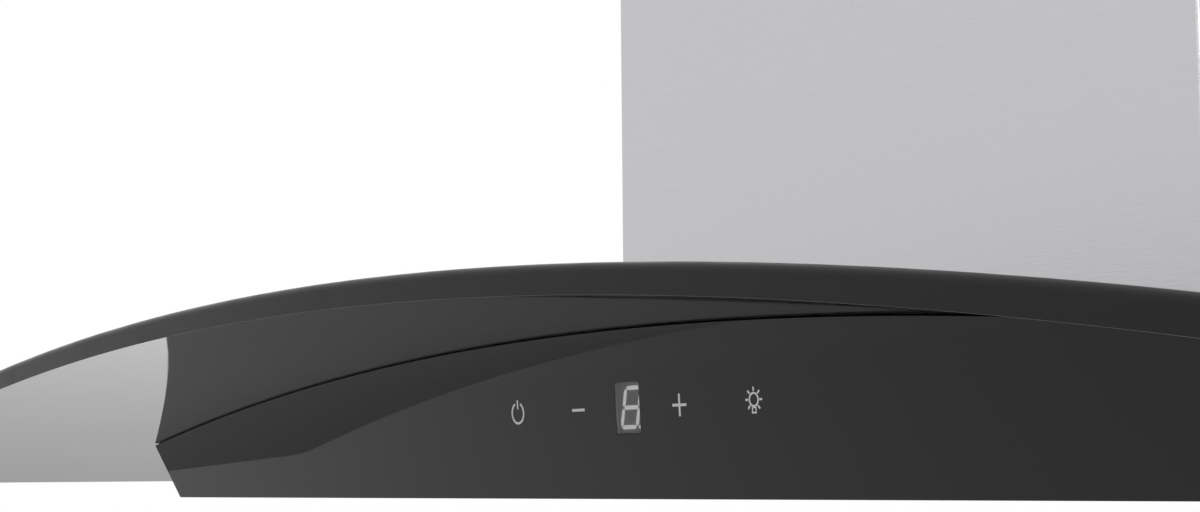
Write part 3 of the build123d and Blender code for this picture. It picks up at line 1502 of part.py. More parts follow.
chimney_screw_length = chimney_sheet + bracket_sheet + screw_overrun
chimney_left = Plane(origin=side(-chimney_half_width).origin, x_dir=(0, -1, 0), z_dir=(-1, 0, 0))
with BuildPart() as chimney_screws:
    add(pan_screws(side(chimney_half_width), chimney_screw_places, chimney_screw_length))
    add(pan_screws(chimney_left, [(-y, z) for y, z in chimney_screw_places], chimney_screw_length))
chimney_screws.part.label = "chimney_screws"
export_step(chimney_screws.part, "parts/chimney_screws.step")

arm_face = upper_half_width - chimney_sheet
top_bracket_half_width = upper_half_width - top_bracket_inset
plate_back = top_bracket_wall_gap
plate_front = top_bracket_wall_gap + bracket_sheet
with BuildPart() as top_bracket:
    with BuildSketch(level(top_bracket_top - top_bracket_height)):
        with Locations((0, -(plate_back + plate_front) / 2)):
            Rectangle(2 * top_bracket_half_width, bracket_sheet)
        for sign, hand in hands:
            step_x = sign * (top_bracket_half_width - bracket_sheet / 2)
            ear_x = sign * (top_bracket_half_width - bracket_sheet + arm_face) / 2
            arm_x = sign * (arm_face - bracket_sheet / 2)
            with Locations((step_x, -(plate_back + top_bracket_step) / 2)):
                Rectangle(bracket_sheet, top_bracket_step - plate_back)
            with Locations((ear_x, -top_bracket_step + bracket_sheet / 2)):
                Rectangle(arm_face - top_bracket_half_width + bracket_sheet, bracket_sheet)
            with Locations((arm_x, -(top_bracket_step + top_bracket_arm) / 2)):
                Rectangle(bracket_sheet, top_bracket_arm - top_bracket_step + 2 * bracket_sheet)
    extrude(amount=top_bracket_height)
    with BuildSketch(facing(0)):
        with Locations((0, top_screw_height)):
            with GridLocations(2 * top_bracket_hole_half_spacing, 1, 2, 1):
                Circle(top_bracket_hole_radius)
    extrude(amount=plate_front, mode=Mode.SUBTRACT)
    with BuildSketch(side(-upper_half_width)):
        with Locations(*top_screw_places):
            Circle(screw_radius + tight_clearance)
    extrude(amount=2 * upper_half_width, mode=Mode.SUBTRACT)
top_bracket.part.label = "top_bracket"
export_step(top_bracket.part, "parts/top_bracket.step")

upper_left = Plane(origin=side(-upper_half_width).origin, x_dir=(0, -1, 0), z_dir=(-1, 0, 0))
with BuildPart() as top_bracket_screws:
    add(pan_screws(side(upper_half_width), top_screw_places, chimney_screw_length))
    add(pan_screws(upper_left, [(-y, z) for y, z in top_screw_places], chimney_screw_length))
top_bracket_screws.part.label = "top_bracket_screws"
export_step(top_bracket_screws.part, "parts/top_bracket_screws.step")
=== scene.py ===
"""A curved glass range hood: bent black canopy glass, black fascia with touch marks, steel body and chimney."""

from math import asin, copysign, cos, inf, pi, radians, sin, sqrt

import bmesh
import bpy
from mathutils import Matrix, Vector


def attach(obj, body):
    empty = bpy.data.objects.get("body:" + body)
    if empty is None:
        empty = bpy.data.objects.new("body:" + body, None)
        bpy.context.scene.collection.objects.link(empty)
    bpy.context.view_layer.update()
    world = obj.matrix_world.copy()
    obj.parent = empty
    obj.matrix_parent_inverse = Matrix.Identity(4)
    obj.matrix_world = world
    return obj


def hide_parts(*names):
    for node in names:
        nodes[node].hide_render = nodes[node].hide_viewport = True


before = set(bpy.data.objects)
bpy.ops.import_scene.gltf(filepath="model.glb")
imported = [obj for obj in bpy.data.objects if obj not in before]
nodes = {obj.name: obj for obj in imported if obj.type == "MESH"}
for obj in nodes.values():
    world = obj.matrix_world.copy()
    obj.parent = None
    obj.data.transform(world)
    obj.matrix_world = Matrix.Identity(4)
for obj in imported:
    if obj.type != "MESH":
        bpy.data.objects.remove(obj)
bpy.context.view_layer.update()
scene = bpy.context.scene

# ---- Canopy glass ----
# One sheet of 8 mm black glass, cut flat with a notch for the blower box, its edge ground round, its underside
# fired with grey enamel, then bent to a radius of 2.09 m. It lies on the body's deck and two clamps hold it down.

LEVEL = -0.2  # the body's bottom edge, in the shared frame
CROWN = 0.0561  # from there up to the canopy's underside, at the centre
GLASS_THICK = 0.008
BEND_RADIUS = 2.09
BEND_AXIS = LEVEL + CROWN - BEND_RADIUS  # height of the axis that the glass is bent round
BEND_SLICES = 96
HALF_CHORD = 0.449
GLASS_HALF = BEND_RADIUS * asin(HALF_CHORD / BEND_RADIUS)  # of the width while the sheet is flat
GLASS_BACK, GLASS_FRONT = -0.002, -0.504
GLASS_CORNER = 0.010
NOTCH_HALF, NOTCH_FRONT = 0.133, -0.241
NOTCH_CORNER = 0.008
TOP_ROUND, BOTTOM_ROUND = 0.0025, 0.0002
TOUCHING = 1e-6  # heights that are nearer than this are the same
SHARP = 1.2  # least angle between two faces at an edge that is rounded, in radians


def arch(x, above=0.0):
    """Height of the canopy's underside at x, or of a surface this far above it."""
    return BEND_AXIS + sqrt((BEND_RADIUS + above) ** 2 - x**2)


def paint(name, colour, roughness, metallic=0.0):
    """A material, its node tree and its Principled shader with these values on its sockets."""
    material = bpy.data.materials.new(name)
    material.use_nodes = True
    tree = material.node_tree
    surface = tree.nodes["Principled BSDF"]
    surface.inputs["Base Color"].default_value = (*colour, 1.0)
    surface.inputs["Roughness"].default_value = roughness
    surface.inputs["Metallic"].default_value = metallic
    return material, tree, surface


def on_object(tree, texture):
    """Lays a texture or a mapping on Object coordinates."""
    place = tree.nodes.new("ShaderNodeTexCoord")
    tree.links.new(place.outputs["Object"], texture.inputs["Vector"])


def noise(tree, scale, detail=3.0, stretch=(1.0, 1.0, 1.0)):
    """Noise on Object coordinates, stretched by a Mapping node."""
    mapping = tree.nodes.new("ShaderNodeMapping")
    mapping.inputs["Scale"].default_value = stretch
    on_object(tree, mapping)
    pattern = tree.nodes.new("ShaderNodeTexNoise")
    pattern.inputs["Scale"].default_value = scale
    pattern.inputs["Detail"].default_value = detail
    tree.links.new(mapping.outputs["Vector"], pattern.inputs["Vector"])
    return pattern.outputs["Fac"]


def spread(tree, value, low, high, inner=(0.0, 1.0)):
    """A value carried from its inner range to another."""
    remap = tree.nodes.new("ShaderNodeMapRange")
    remap.inputs["From Min"].default_value, remap.inputs["From Max"].default_value = inner
    remap.inputs["To Min"].default_value, remap.inputs["To Max"].default_value = low, high
    tree.links.new(value, remap.inputs["Value"])
    return remap.outputs["Result"]


def polish(tree, surface, value, low, high, inner=(0.0, 1.0)):
    """Roughness between two, by a value."""
    tree.links.new(spread(tree, value, low, high, inner), surface.inputs["Roughness"])


def tint(tree, surface, value, low, high):
    """Colour between two, by a value from 0 to 1."""
    ramp = tree.nodes.new("ShaderNodeValToRGB")
    ramp.color_ramp.elements[0].color = (*low, 1.0)
    ramp.color_ramp.elements[1].color = (*high, 1.0)
    tree.links.new(value, ramp.inputs["Fac"])
    tree.links.new(ramp.outputs["Color"], surface.inputs["Base Color"])


def relief(tree, surface, value, height):
    """Bump of this height in metres, by a value from 0 to 1."""
    bump = tree.nodes.new("ShaderNodeBump")
    bump.inputs["Distance"].default_value = height
    tree.links.new(value, bump.inputs["Height"])
    tree.links.new(bump.outputs["Normal"], surface.inputs["Normal"])


def glassy(name, colour, roughness, grain, level):
    """Opaque glass, its polish slightly uneven; level is how strongly it mirrors, against 0.5 for window glass."""
    material, tree, surface = paint(name, colour, roughness)
    surface.inputs["IOR"].default_value = 1.5
    surface.inputs["Specular IOR Level"].default_value = level
    polish(tree, surface, noise(tree, grain), 0.6 * roughness, 1.4 * roughness, (0.3, 0.7))
    tint(tree, surface, noise(tree, 5.0), [0.94 * c for c in colour], [1.06 * c for c in colour])
    return material, tree, surface


def plate(shape, x, y, width, depth, turned=0.0):
    """A flat rectangle centred on x, y."""
    made = bmesh.ops.create_grid(shape, x_segments=1, y_segments=1, size=0.5)["verts"]
    bmesh.ops.scale(shape, vec=(width, depth, 1), verts=made)
    bmesh.ops.rotate(shape, cent=(0, 0, 0), matrix=Matrix.Rotation(turned, 3, "Z"), verts=made)
    bmesh.ops.translate(shape, vec=(x, y, 0), verts=made)


def cut(shape, point, normal, near=inf, clear_outer=False):
    """Cuts through the faces whose middles are this near to x = 0, along a plane."""
    faces = [f for f in shape.faces if abs(f.calc_center_median().x) < near]
    chosen = set(faces)
    rest = [part for part in shape.verts[:] + shape.edges[:] if chosen.intersection(part.link_faces)]
    bmesh.ops.bisect_plane(shape, geom=rest + faces, plane_co=point, plane_no=normal, clear_outer=clear_outer)


def cut_opening(shape, left, right, front, back, near=inf):
    """Cuts a rectangular opening or notch in a flat sheet."""
    for x in (left, right):
        cut(shape, (x, 0, 0), (1, 0, 0), near)
    for y in (front, back):
        cut(shape, (0, y, 0), (0, 1, 0), near)
    middles = [(f, f.calc_center_median()) for f in shape.faces]
    inside = [f for f, middle in middles if left < middle.x < right and front < middle.y < back]
    bmesh.ops.delete(shape, geom=inside, context="FACES")


def thicken(shape, height, foot=0.0):
    """Gives a flat shape a thickness, from a foot up, or down where the height is negative."""
    moved = bmesh.ops.extrude_face_region(shape, geom=shape.faces[:])["geom"]
    bmesh.ops.translate(shape, vec=(0, 0, foot), verts=shape.verts)
    bmesh.ops.translate(shape, vec=(0, 0, height), verts=[v for v in moved if isinstance(v, bmesh.types.BMVert)])
    bmesh.ops.recalc_face_normals(shape, faces=shape.faces[:])


def rims(shape, *levels):
    """The sharp edges that lie flat at one of these heights."""
    flat = [e for e in shape.edges if any(all(abs(v.co.z - z) < TOUCHING for v in e.verts) for z in levels)]
    return [e for e in flat if len(e.link_faces) == 2 and e.calc_face_angle(0) > SHARP]


def round_off(shape, parts, radius, segments, affect="EDGES"):
    """Rounds edges or corners."""
    bmesh.ops.bevel(shape, geom=parts, offset=radius, segments=segments, profile=0.5, affect=affect, material=-1)


def settled(name, shape, *materials):
    """An object at the origin from a bmesh."""
    mesh = bpy.data.meshes.new(name)
    shape.to_mesh(mesh)
    shape.free()
    thing = bpy.data.objects.new(name, mesh)
    scene.collection.objects.link(thing)
    for material in materials:
        mesh.materials.append(material)
    return thing


def piece(name, shape, *materials, body="hood", smooth=None):
    """A piece of the hood that rides on a body, perhaps smooth up to an angle in degrees."""
    thing = settled(name, shape, *materials)
    if smooth is not None:
        thing.data.shade_smooth()
        thing.data.set_sharp_from_angle(angle=radians(smooth))
    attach(thing, body)
    return thing


black_glass, tree, surface = glassy("black_glass", (0.016, 0.016, 0.017), 0.02, 9.0, 0.2)
relief(tree, surface, noise(tree, 3.0, 1.0), 0.00002)
ground_edge = glassy("ground_edge", (0.018, 0.018, 0.019), 0.25, 60.0, 0.1)[0]
grey_enamel = glassy("grey_enamel", (0.1, 0.099, 0.104), 0.03, 14.0, 0.3)[0]

sheet = bmesh.new()
plate(sheet, 0.0, (GLASS_BACK + GLASS_FRONT) / 2, 2 * GLASS_HALF, GLASS_BACK - GLASS_FRONT)
cut_opening(sheet, -NOTCH_HALF, NOTCH_HALF, NOTCH_FRONT, 0.0)
bmesh.ops.dissolve_faces(sheet, faces=sheet.faces[:])
straight = [v for v in sheet.verts if len(v.link_edges) == 2 and abs(v.calc_edge_angle(0.0)) < 0.01]
bmesh.ops.dissolve_verts(sheet, verts=straight)
outer = [v for v in sheet.verts if abs(v.co.x) > NOTCH_HALF + 0.001]
round_off(sheet, outer, GLASS_CORNER, 8, "VERTICES")
inner = [v for v in sheet.verts if abs(abs(v.co.x) - NOTCH_HALF) < 1e-5 and abs(v.co.y - NOTCH_FRONT) < 1e-5]
round_off(sheet, inner, NOTCH_CORNER, 8, "VERTICES")
thicken(sheet, GLASS_THICK)
round_off(sheet, rims(sheet, GLASS_THICK), TOP_ROUND, 8)
round_off(sheet, rims(sheet, 0.0), BOTTOM_ROUND, 2)
for face in sheet.faces:
    face.material_index = 0 if face.normal.z > 0.999 else 2 if face.normal.z < -0.999 else 1
for i in range(1, BEND_SLICES):
    cut(sheet, (-GLASS_HALF + 2 * GLASS_HALF * i / BEND_SLICES, 0, 0), (1, 0, 0))
for v in sheet.verts:
    turn, reach = v.co.x / BEND_RADIUS, BEND_RADIUS + v.co.z
    v.co.x, v.co.z = reach * sin(turn), BEND_AXIS + reach * cos(turn)
canopy = piece("canopy_sheet", sheet, black_glass, ground_edge, grey_enamel, smooth=60)
canopy.modifiers.new("even shading", "WEIGHTED_NORMAL").keep_sharp = True
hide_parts("canopy_glass")

# ---- Seal and clamps ----
# A strip of soft rubber between deck and glass, and two galvanised angles with rubber pads that clamp the glass
# inside the chimney. Their screws are bright zinc plated.

soft_rubber, tree, surface = paint("soft_rubber", (0.018, 0.018, 0.018), 0.8)
relief(tree, surface, noise(tree, 900.0), 0.00005)
zinc_sheet, tree, surface = paint("zinc_coated_sheet", (0.46, 0.47, 0.49), 0.42, 1.0)
spangle = tree.nodes.new("ShaderNodeTexVoronoi")
spangle.inputs["Scale"].default_value = 110.0
on_object(tree, spangle)
tint(tree, surface, spangle.outputs["Color"], (0.36, 0.37, 0.39), (0.54, 0.55, 0.57))
polish(tree, surface, spangle.outputs["Distance"], 0.34, 0.5)
bright_zinc, tree, surface = paint("bright_zinc", (0.6, 0.61, 0.62), 0.25, 1.0)
polish(tree, surface, noise(tree, 400.0), 0.18, 0.34)


def dress(material, *names):
    """Gives CAD nodes this material."""
    for name in names:
        nodes[name].data.materials.clear()
        nodes[name].data.materials.append(material)


dress(soft_rubber, "glass_seal", "clamp_pads", "fascia_tape")
dress(zinc_sheet, "glass_clamps", "blower_box", "motor_bracket", "chimney_brackets", "top_bracket")
dress(bright_zinc, "box_screws", "panel_screws", "volute_screws")
dress(bright_zinc, "collar_screws", "chimney_screws", "top_bracket_screws")

# ---- Chimney covers and body ----
# Stainless sheet with fine brush marks that run across it. The chimney is two folded covers, one inside the
# other; the body is a folded shell with an arched deck, closed from below by a flat panel.


def brushed(name, colour, roughness, stretch, stroke):
    """Stainless steel with fine brush marks and short deeper strokes, along the axis that both stretch least."""
    material, tree, surface = paint(name, colour, roughness, 1.0)
    both = tree.nodes.new("ShaderNodeMath")
    both.operation = "ADD"
    for socket, detail, shape in ((0, 6.0, stretch), (1, 2.0, stroke)):
        tree.links.new(spread(tree, noise(tree, 14.0, detail, shape), 0.0, 0.5), both.inputs[socket])
    marks = both.outputs["Value"]
    polish(tree, surface, marks, roughness - 0.07, roughness + 0.07, (0.3, 0.7))
    relief(tree, surface, marks, 0.00005)
    tint(tree, surface, marks, [0.9 * c for c in colour], [1.1 * c for c in colour])
    return material


brushed_cover = brushed("brushed_cover", (0.545, 0.541, 0.556), 0.3, (1.0, 1.0, 220.0), (7.0, 7.0, 80.0))
brushed_body = brushed("brushed_body", (0.5, 0.5, 0.51), 0.4, (1.0, 120.0, 120.0), (7.0, 80.0, 80.0))
dress(brushed_cover, "lower_chimney", "upper_chimney")
dress(brushed_body, "body_shell", "underside_panel")

# ---- Fascia ----
# A flat sheet of 4 mm black glass, leaning 3.2 degrees, its back printed black but for the window and the
# touch marks, which are printed pale.

LEAN = radians(3.2)
FASCIA_FOOT = -0.380  # out from the wall
FASCIA = Matrix(
    (
        (1, 0, 0, 0),
        (0, -sin(LEAN), -cos(LEAN), FASCIA_FOOT),
        (0, cos(LEAN), -sin(LEAN), LEVEL),
        (0, 0, 0, 1),
    )
)  # from a flat drawing of the fascia's face, seen from the front, to the hood
FASCIA_THICK = 0.004
FASCIA_CORNER, FASCIA_ARRIS = 0.0006, 0.0002
OPEN_JOINT = 0.00045  # between the top edge and the canopy
FOOT_HALF, SHOULDER_HALF = 0.3394, 0.3639
ROUGH_WIDTH = 0.74  # before its slanted ends are cut
ARCH_STEPS = 96
MARK_ROW = 0.0299
WINDOW_HALF_X, WINDOW_HALF_Y = 0.0065, 0.0085
WINDOW_NEAR = 0.02  # how far from the middle the cuts for the window reach


def fascia_top(x):
    """Height of the fascia's arched top edge at x, measured on its face."""
    return (arch(x, -OPEN_JOINT) - LEVEL) / cos(LEAN)


fascia_black = glassy("fascia_black", (0.022, 0.022, 0.023), 0.02, 12.0, 0.21)[0]
face_sheet = bmesh.new()
bmesh.ops.create_grid(face_sheet, x_segments=ARCH_STEPS, y_segments=1, size=0.5)
bmesh.ops.scale(face_sheet, vec=(ROUGH_WIDTH, 1, 1), verts=face_sheet.verts)
for v in face_sheet.verts:
    v.co.y = fascia_top(v.co.x) if v.co.y > 0 else 0.0
for side in (-1, 1):
    slant = Vector((side * fascia_top(SHOULDER_HALF), FOOT_HALF - SHOULDER_HALF, 0))
    cut(face_sheet, (side * FOOT_HALF, 0, 0), slant, clear_outer=True)
ends = [
    v for v in face_sheet.verts
    if len(v.link_edges) == 2 and (v.co.y < TOUCHING or abs(abs(v.co.x) - SHOULDER_HALF) < 0.0005)
]
round_off(face_sheet, ends, FASCIA_CORNER, 4, "VERTICES")
window_foot, window_head = MARK_ROW - WINDOW_HALF_Y, MARK_ROW + WINDOW_HALF_Y
cut_opening(face_sheet, -WINDOW_HALF_X, WINDOW_HALF_X, window_foot, window_head, WINDOW_NEAR)
thicken(face_sheet, -FASCIA_THICK)
round_off(face_sheet, rims(face_sheet, 0.0), FASCIA_ARRIS, 2)
bmesh.ops.transform(face_sheet, matrix=FASCIA, verts=face_sheet.verts)
fascia_piece = piece("fascia_sheet", face_sheet, fascia_black)
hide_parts("fascia_glass")

PRINT_PROUD, PRINT_THICK = 0.00003, 0.00005
POWER_X, MINUS_X, PLUS_X, BULB_X = -0.06415, -0.02765, 0.02745, 0.06402
POWER_RADIUS, POWER_LINE, POWER_GAP = 0.00395, 0.0008, 54  # the gap in degrees
STEM_LENGTH, STEM_RISE = 0.0031, 0.003
SIGN_LENGTH, SIGN_LINE = 0.0072, 0.0009
ARM_LENGTH, ARM_RISE = 0.00315, 0.00203  # the plus has its upright in two arms
BULB_RADIUS, BULB_LINE, BULB_RISE = 0.00235, 0.00065, 0.00047
RAY_REACH, RAY_LENGTH, RAY_LINE = 0.00328, 0.0013, 0.0007


def glow(surface, colour, strength):
    """Light of the piece's own, or a painted glow where the piece is no lamp."""
    surface.inputs["Emission Color"].default_value = (*colour, 1.0)
    surface.inputs["Emission Strength"].default_value = strength


printed, tree, surface = paint("printed_mark_painted_glow", (0.8, 0.8, 0.8), 0.5)
# The marks are print, not lamps: their faint emission is a painted glow that makes them look lit.
glow(surface, (1.0, 0.99, 0.97), 0.08)
tint(tree, surface, noise(tree, 2500.0), (0.77, 0.77, 0.77), (0.82, 0.82, 0.82))


def ring(shape, radius, line, x, y, start=0.0, sweep=2 * pi):
    """A flat ring or part of one, on the fascia's face."""
    edge = [shape.verts.new((x + r * cos(start), y + r * sin(start), 0)) for r in (radius - line, radius)]
    rail = shape.edges.new(edge)
    whole = sweep == 2 * pi
    bmesh.ops.spin(
        shape, geom=edge + [rail], cent=(x, y, 0), axis=(0, 0, 1), angle=sweep, steps=48, use_merge=whole
    )


def print_mark(name, shape):
    """Gives a flat mark a thickness and puts it on the fascia's face."""
    bmesh.ops.remove_doubles(shape, verts=shape.verts, dist=TOUCHING)
    bmesh.ops.recalc_face_normals(shape, faces=shape.faces)
    for face in shape.faces:
        if face.normal.z < 0:
            face.normal_flip()
    bmesh.ops.translate(shape, vec=(0, 0, PRINT_PROUD), verts=shape.verts)
    bmesh.ops.solidify(shape, geom=shape.faces[:], thickness=PRINT_THICK)
    bmesh.ops.transform(shape, matrix=FASCIA, verts=shape.verts)
    piece(name, shape, printed)


power = bmesh.new()
ring(power, POWER_RADIUS, POWER_LINE, POWER_X, MARK_ROW, radians(90 + POWER_GAP / 2), radians(360 - POWER_GAP))
plate(power, POWER_X, MARK_ROW + STEM_RISE, POWER_LINE, STEM_LENGTH)
print_mark("power_mark", power)
minus = bmesh.new()
plate(minus, MINUS_X, MARK_ROW, SIGN_LENGTH, SIGN_LINE)
print_mark("minus_mark", minus)
plus = bmesh.new()
plate(plus, PLUS_X, MARK_ROW, SIGN_LENGTH, SIGN_LINE)
for up in (-1, 1):
    plate(plus, PLUS_X, MARK_ROW + up * ARM_RISE, SIGN_LINE, ARM_LENGTH)
print_mark("plus_mark", plus)
lamp_mark = bmesh.new()
bulb_y = MARK_ROW + BULB_RISE
ring(lamp_mark, BULB_RADIUS, BULB_LINE, BULB_X, bulb_y)
for angle in range(-45, 226, 45):
    out = Matrix.Rotation(radians(angle), 2) @ Vector((RAY_REACH, 0))
    plate(lamp_mark, BULB_X + out.x, bulb_y + out.y, RAY_LENGTH, RAY_LINE, radians(angle))
for across, drop, width, height in (  # the neck's two sides, the foot and the cap
    (-0.00085, 0.00255, 0.0005, 0.0014),
    (0.00085, 0.00255, 0.0005, 0.0014),
    (0.0, 0.0035, 0.0022, 0.0005),
    (0.0, 0.00202, 0.0014, 0.0003),
):
    plate(lamp_mark, BULB_X + across, MARK_ROW - drop, width, height)
print_mark("lamp_mark", lamp_mark)

# ---- Display ----
# A small one-digit module behind a smoked window with a grey rim. Its lit bars are white diffusing plastic, and
# its moulded housing shows as a narrow grey surround. It stands on the control board.

PANE_WIDTH, PANE_HEIGHT, PANE_THICK = 0.0129, 0.0169, 0.0012
PANE_CORNER, PANE_ARRIS = 0.00075, 0.0001
SURROUND_WIDTH, SURROUND_THICK, SURROUND_SETBACK = 0.0006, 0.00045, 0.0017

smoked, tree, surface = glassy("smoked_window", (0.3, 0.3, 0.3), 0.05, 60.0, 0.19)
surface.inputs["Alpha"].default_value = 0.45
window_rim = glassy("window_rim", (0.3, 0.3, 0.302), 0.3, 60.0, 0.2)[0]
pane = bmesh.new()
plate(pane, 0.0, MARK_ROW, PANE_WIDTH, PANE_HEIGHT)
round_off(pane, pane.verts[:], PANE_CORNER, 5, "VERTICES")
thicken(pane, PANE_THICK, -PANE_THICK)
for face in pane.faces:
    face.material_index = 0 if abs(face.normal.z) > 0.9 else 1
round_off(pane, rims(pane, 0.0), PANE_ARRIS, 2)
bmesh.ops.transform(pane, matrix=FASCIA, verts=pane.verts)
window = piece("window_pane", pane, smoked, window_rim)
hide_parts("display_lens")
lit, tree, surface = paint("lit_bars", (0.5, 0.51, 0.53), 0.5)
glow(surface, (1.0, 0.99, 0.97), 1.0)
tint(tree, surface, noise(tree, 800.0), (0.48, 0.49, 0.51), (0.55, 0.56, 0.58))
dress(lit, "display_segments")


def grained(name, colour, roughness, grain=1200.0, depth=0.00003):
    """Moulded plastic, foam or board with a fine grain."""
    material, tree, surface = paint(name, colour, roughness)
    pattern = noise(tree, grain)
    relief(tree, surface, pattern, depth)
    polish(tree, surface, pattern, roughness - 0.05, roughness + 0.05)
    return material


def leave_border(shape, width):
    """Takes the middle out of a flat plate."""
    middle = shape.faces[:]
    bmesh.ops.inset_region(shape, faces=middle, thickness=width, use_boundary=True, use_even_offset=True)
    bmesh.ops.delete(shape, geom=middle, context="FACES")


module_grey = grained("module_grey", (0.3, 0.3, 0.302), 0.6)
dress(module_grey, "display_module")
surround = bmesh.new()
plate(surround, 0.0, MARK_ROW, PANE_WIDTH, PANE_HEIGHT)
leave_border(surround, SURROUND_WIDTH)
thicken(surround, SURROUND_THICK, -SURROUND_SETBACK)
bmesh.ops.transform(surround, matrix=FASCIA, verts=surround.verts)
piece("display_surround", surround, module_grey)

# ---- Control board ----
# A fibreglass board with two chips and four foam pads that carry the touch fields to the glass, in a moulded
# tray clipped to the back of the body's front wall.

dress(grained("board_green", (0.02, 0.12, 0.05), 0.35, 500.0, 0.00001), "control_board")
dress(grained("pad_foam", (0.06, 0.06, 0.065), 0.9), "touch_pads")
dress(grained("tray_plastic", (0.55, 0.55, 0.54), 0.5), "control_tray")

# ---- Grease filters ----
# Two rolled aluminium channels with mitred corners round three layers of stretched aluminium mesh, each with a
# black moulded latch housing riveted in at the front. They hang on steel pins at the back.

FILTER_X, FILTER_Y = 0.157, -0.1755  # the filters' middles
FILTER_WIDTH, FILTER_DEPTH, FILTER_THICK = 0.288, 0.247, 0.009
FILTER_FOOT = LEVEL + 0.0038
FILTER_TOP = FILTER_FOOT + FILTER_THICK
FILTER_FRONT = FILTER_Y - FILTER_DEPTH / 2
RAIL_WIDTH, RAIL_SKIN, RAIL_ROUND = 0.012, 0.0013, 0.0009
RAIL_INSIDE = 0.0002  # how far the rails keep inside the CAD frame
CHANNEL = 0.0055  # depth of the rail's channel, which takes the mesh
MITRE_GAP = 0.0001
HOUSING_WIDTH, HOUSING_DEPTH, HOUSING_FLOOR, HOUSING_ROUND = 0.06, 0.038, 0.0013, 0.0004
HOUSING_PROUD = 0.0002  # below the rails
HOUSING_INSIDE = 0.0001  # behind the filter's front edge
LATCH_SLOT = (0.034, 0.0087, 0.0183)  # its width, and how far behind the filter's front it starts and ends
HOUSING_PARTS = (  # across, width, foot, height: the lid and the two walls
    (0.0, HOUSING_WIDTH, 0.0062, 0.0028),
    (-0.0254, 0.0088, 0.0011, 0.0052),
    (0.0254, 0.0088, 0.0011, 0.0052),
)
MESH_LAYERS = (  # height, long and short way of a mesh opening, turn
    (0.0021, 0.0122, 0.0062, 0.0),
    (0.0043, 0.0158, 0.0082, pi / 2),
    (0.0065, 0.0122, 0.0062, 0.0),
)
MESH_HALF_X, MESH_HALF_Y = 0.1365, 0.1160
MESH_OPENINGS = 64  # along each side of the square that a layer is cut from
MESH_STRAND = 0.00055
MESH_MARGIN = 0.002  # round the latch housing

mill_aluminium, tree, surface = paint("mill_aluminium", (0.66, 0.67, 0.68), 0.36, 1.0)
polish(tree, surface, noise(tree, 20.0, stretch=(60, 1, 1)), 0.3, 0.42, (0.3, 0.7))
tint(tree, surface, noise(tree, 40.0), (0.6, 0.61, 0.62), (0.7, 0.71, 0.72))
mesh_aluminium, tree, surface = paint("mesh_aluminium", (0.6, 0.61, 0.62), 0.3, 1.0)
polish(tree, surface, noise(tree, 300.0), 0.22, 0.4)
tint(tree, surface, noise(tree, 90.0), (0.5, 0.51, 0.52), (0.68, 0.69, 0.7))
latch_black = grained("latch_black", (0.022, 0.022, 0.024), 0.45)


def add_part(shape, part):
    """Adds one bmesh to another."""
    carried = bpy.data.meshes.new("carried")
    part.to_mesh(carried)
    part.free()
    shape.from_mesh(carried)
    bpy.data.meshes.remove(carried)


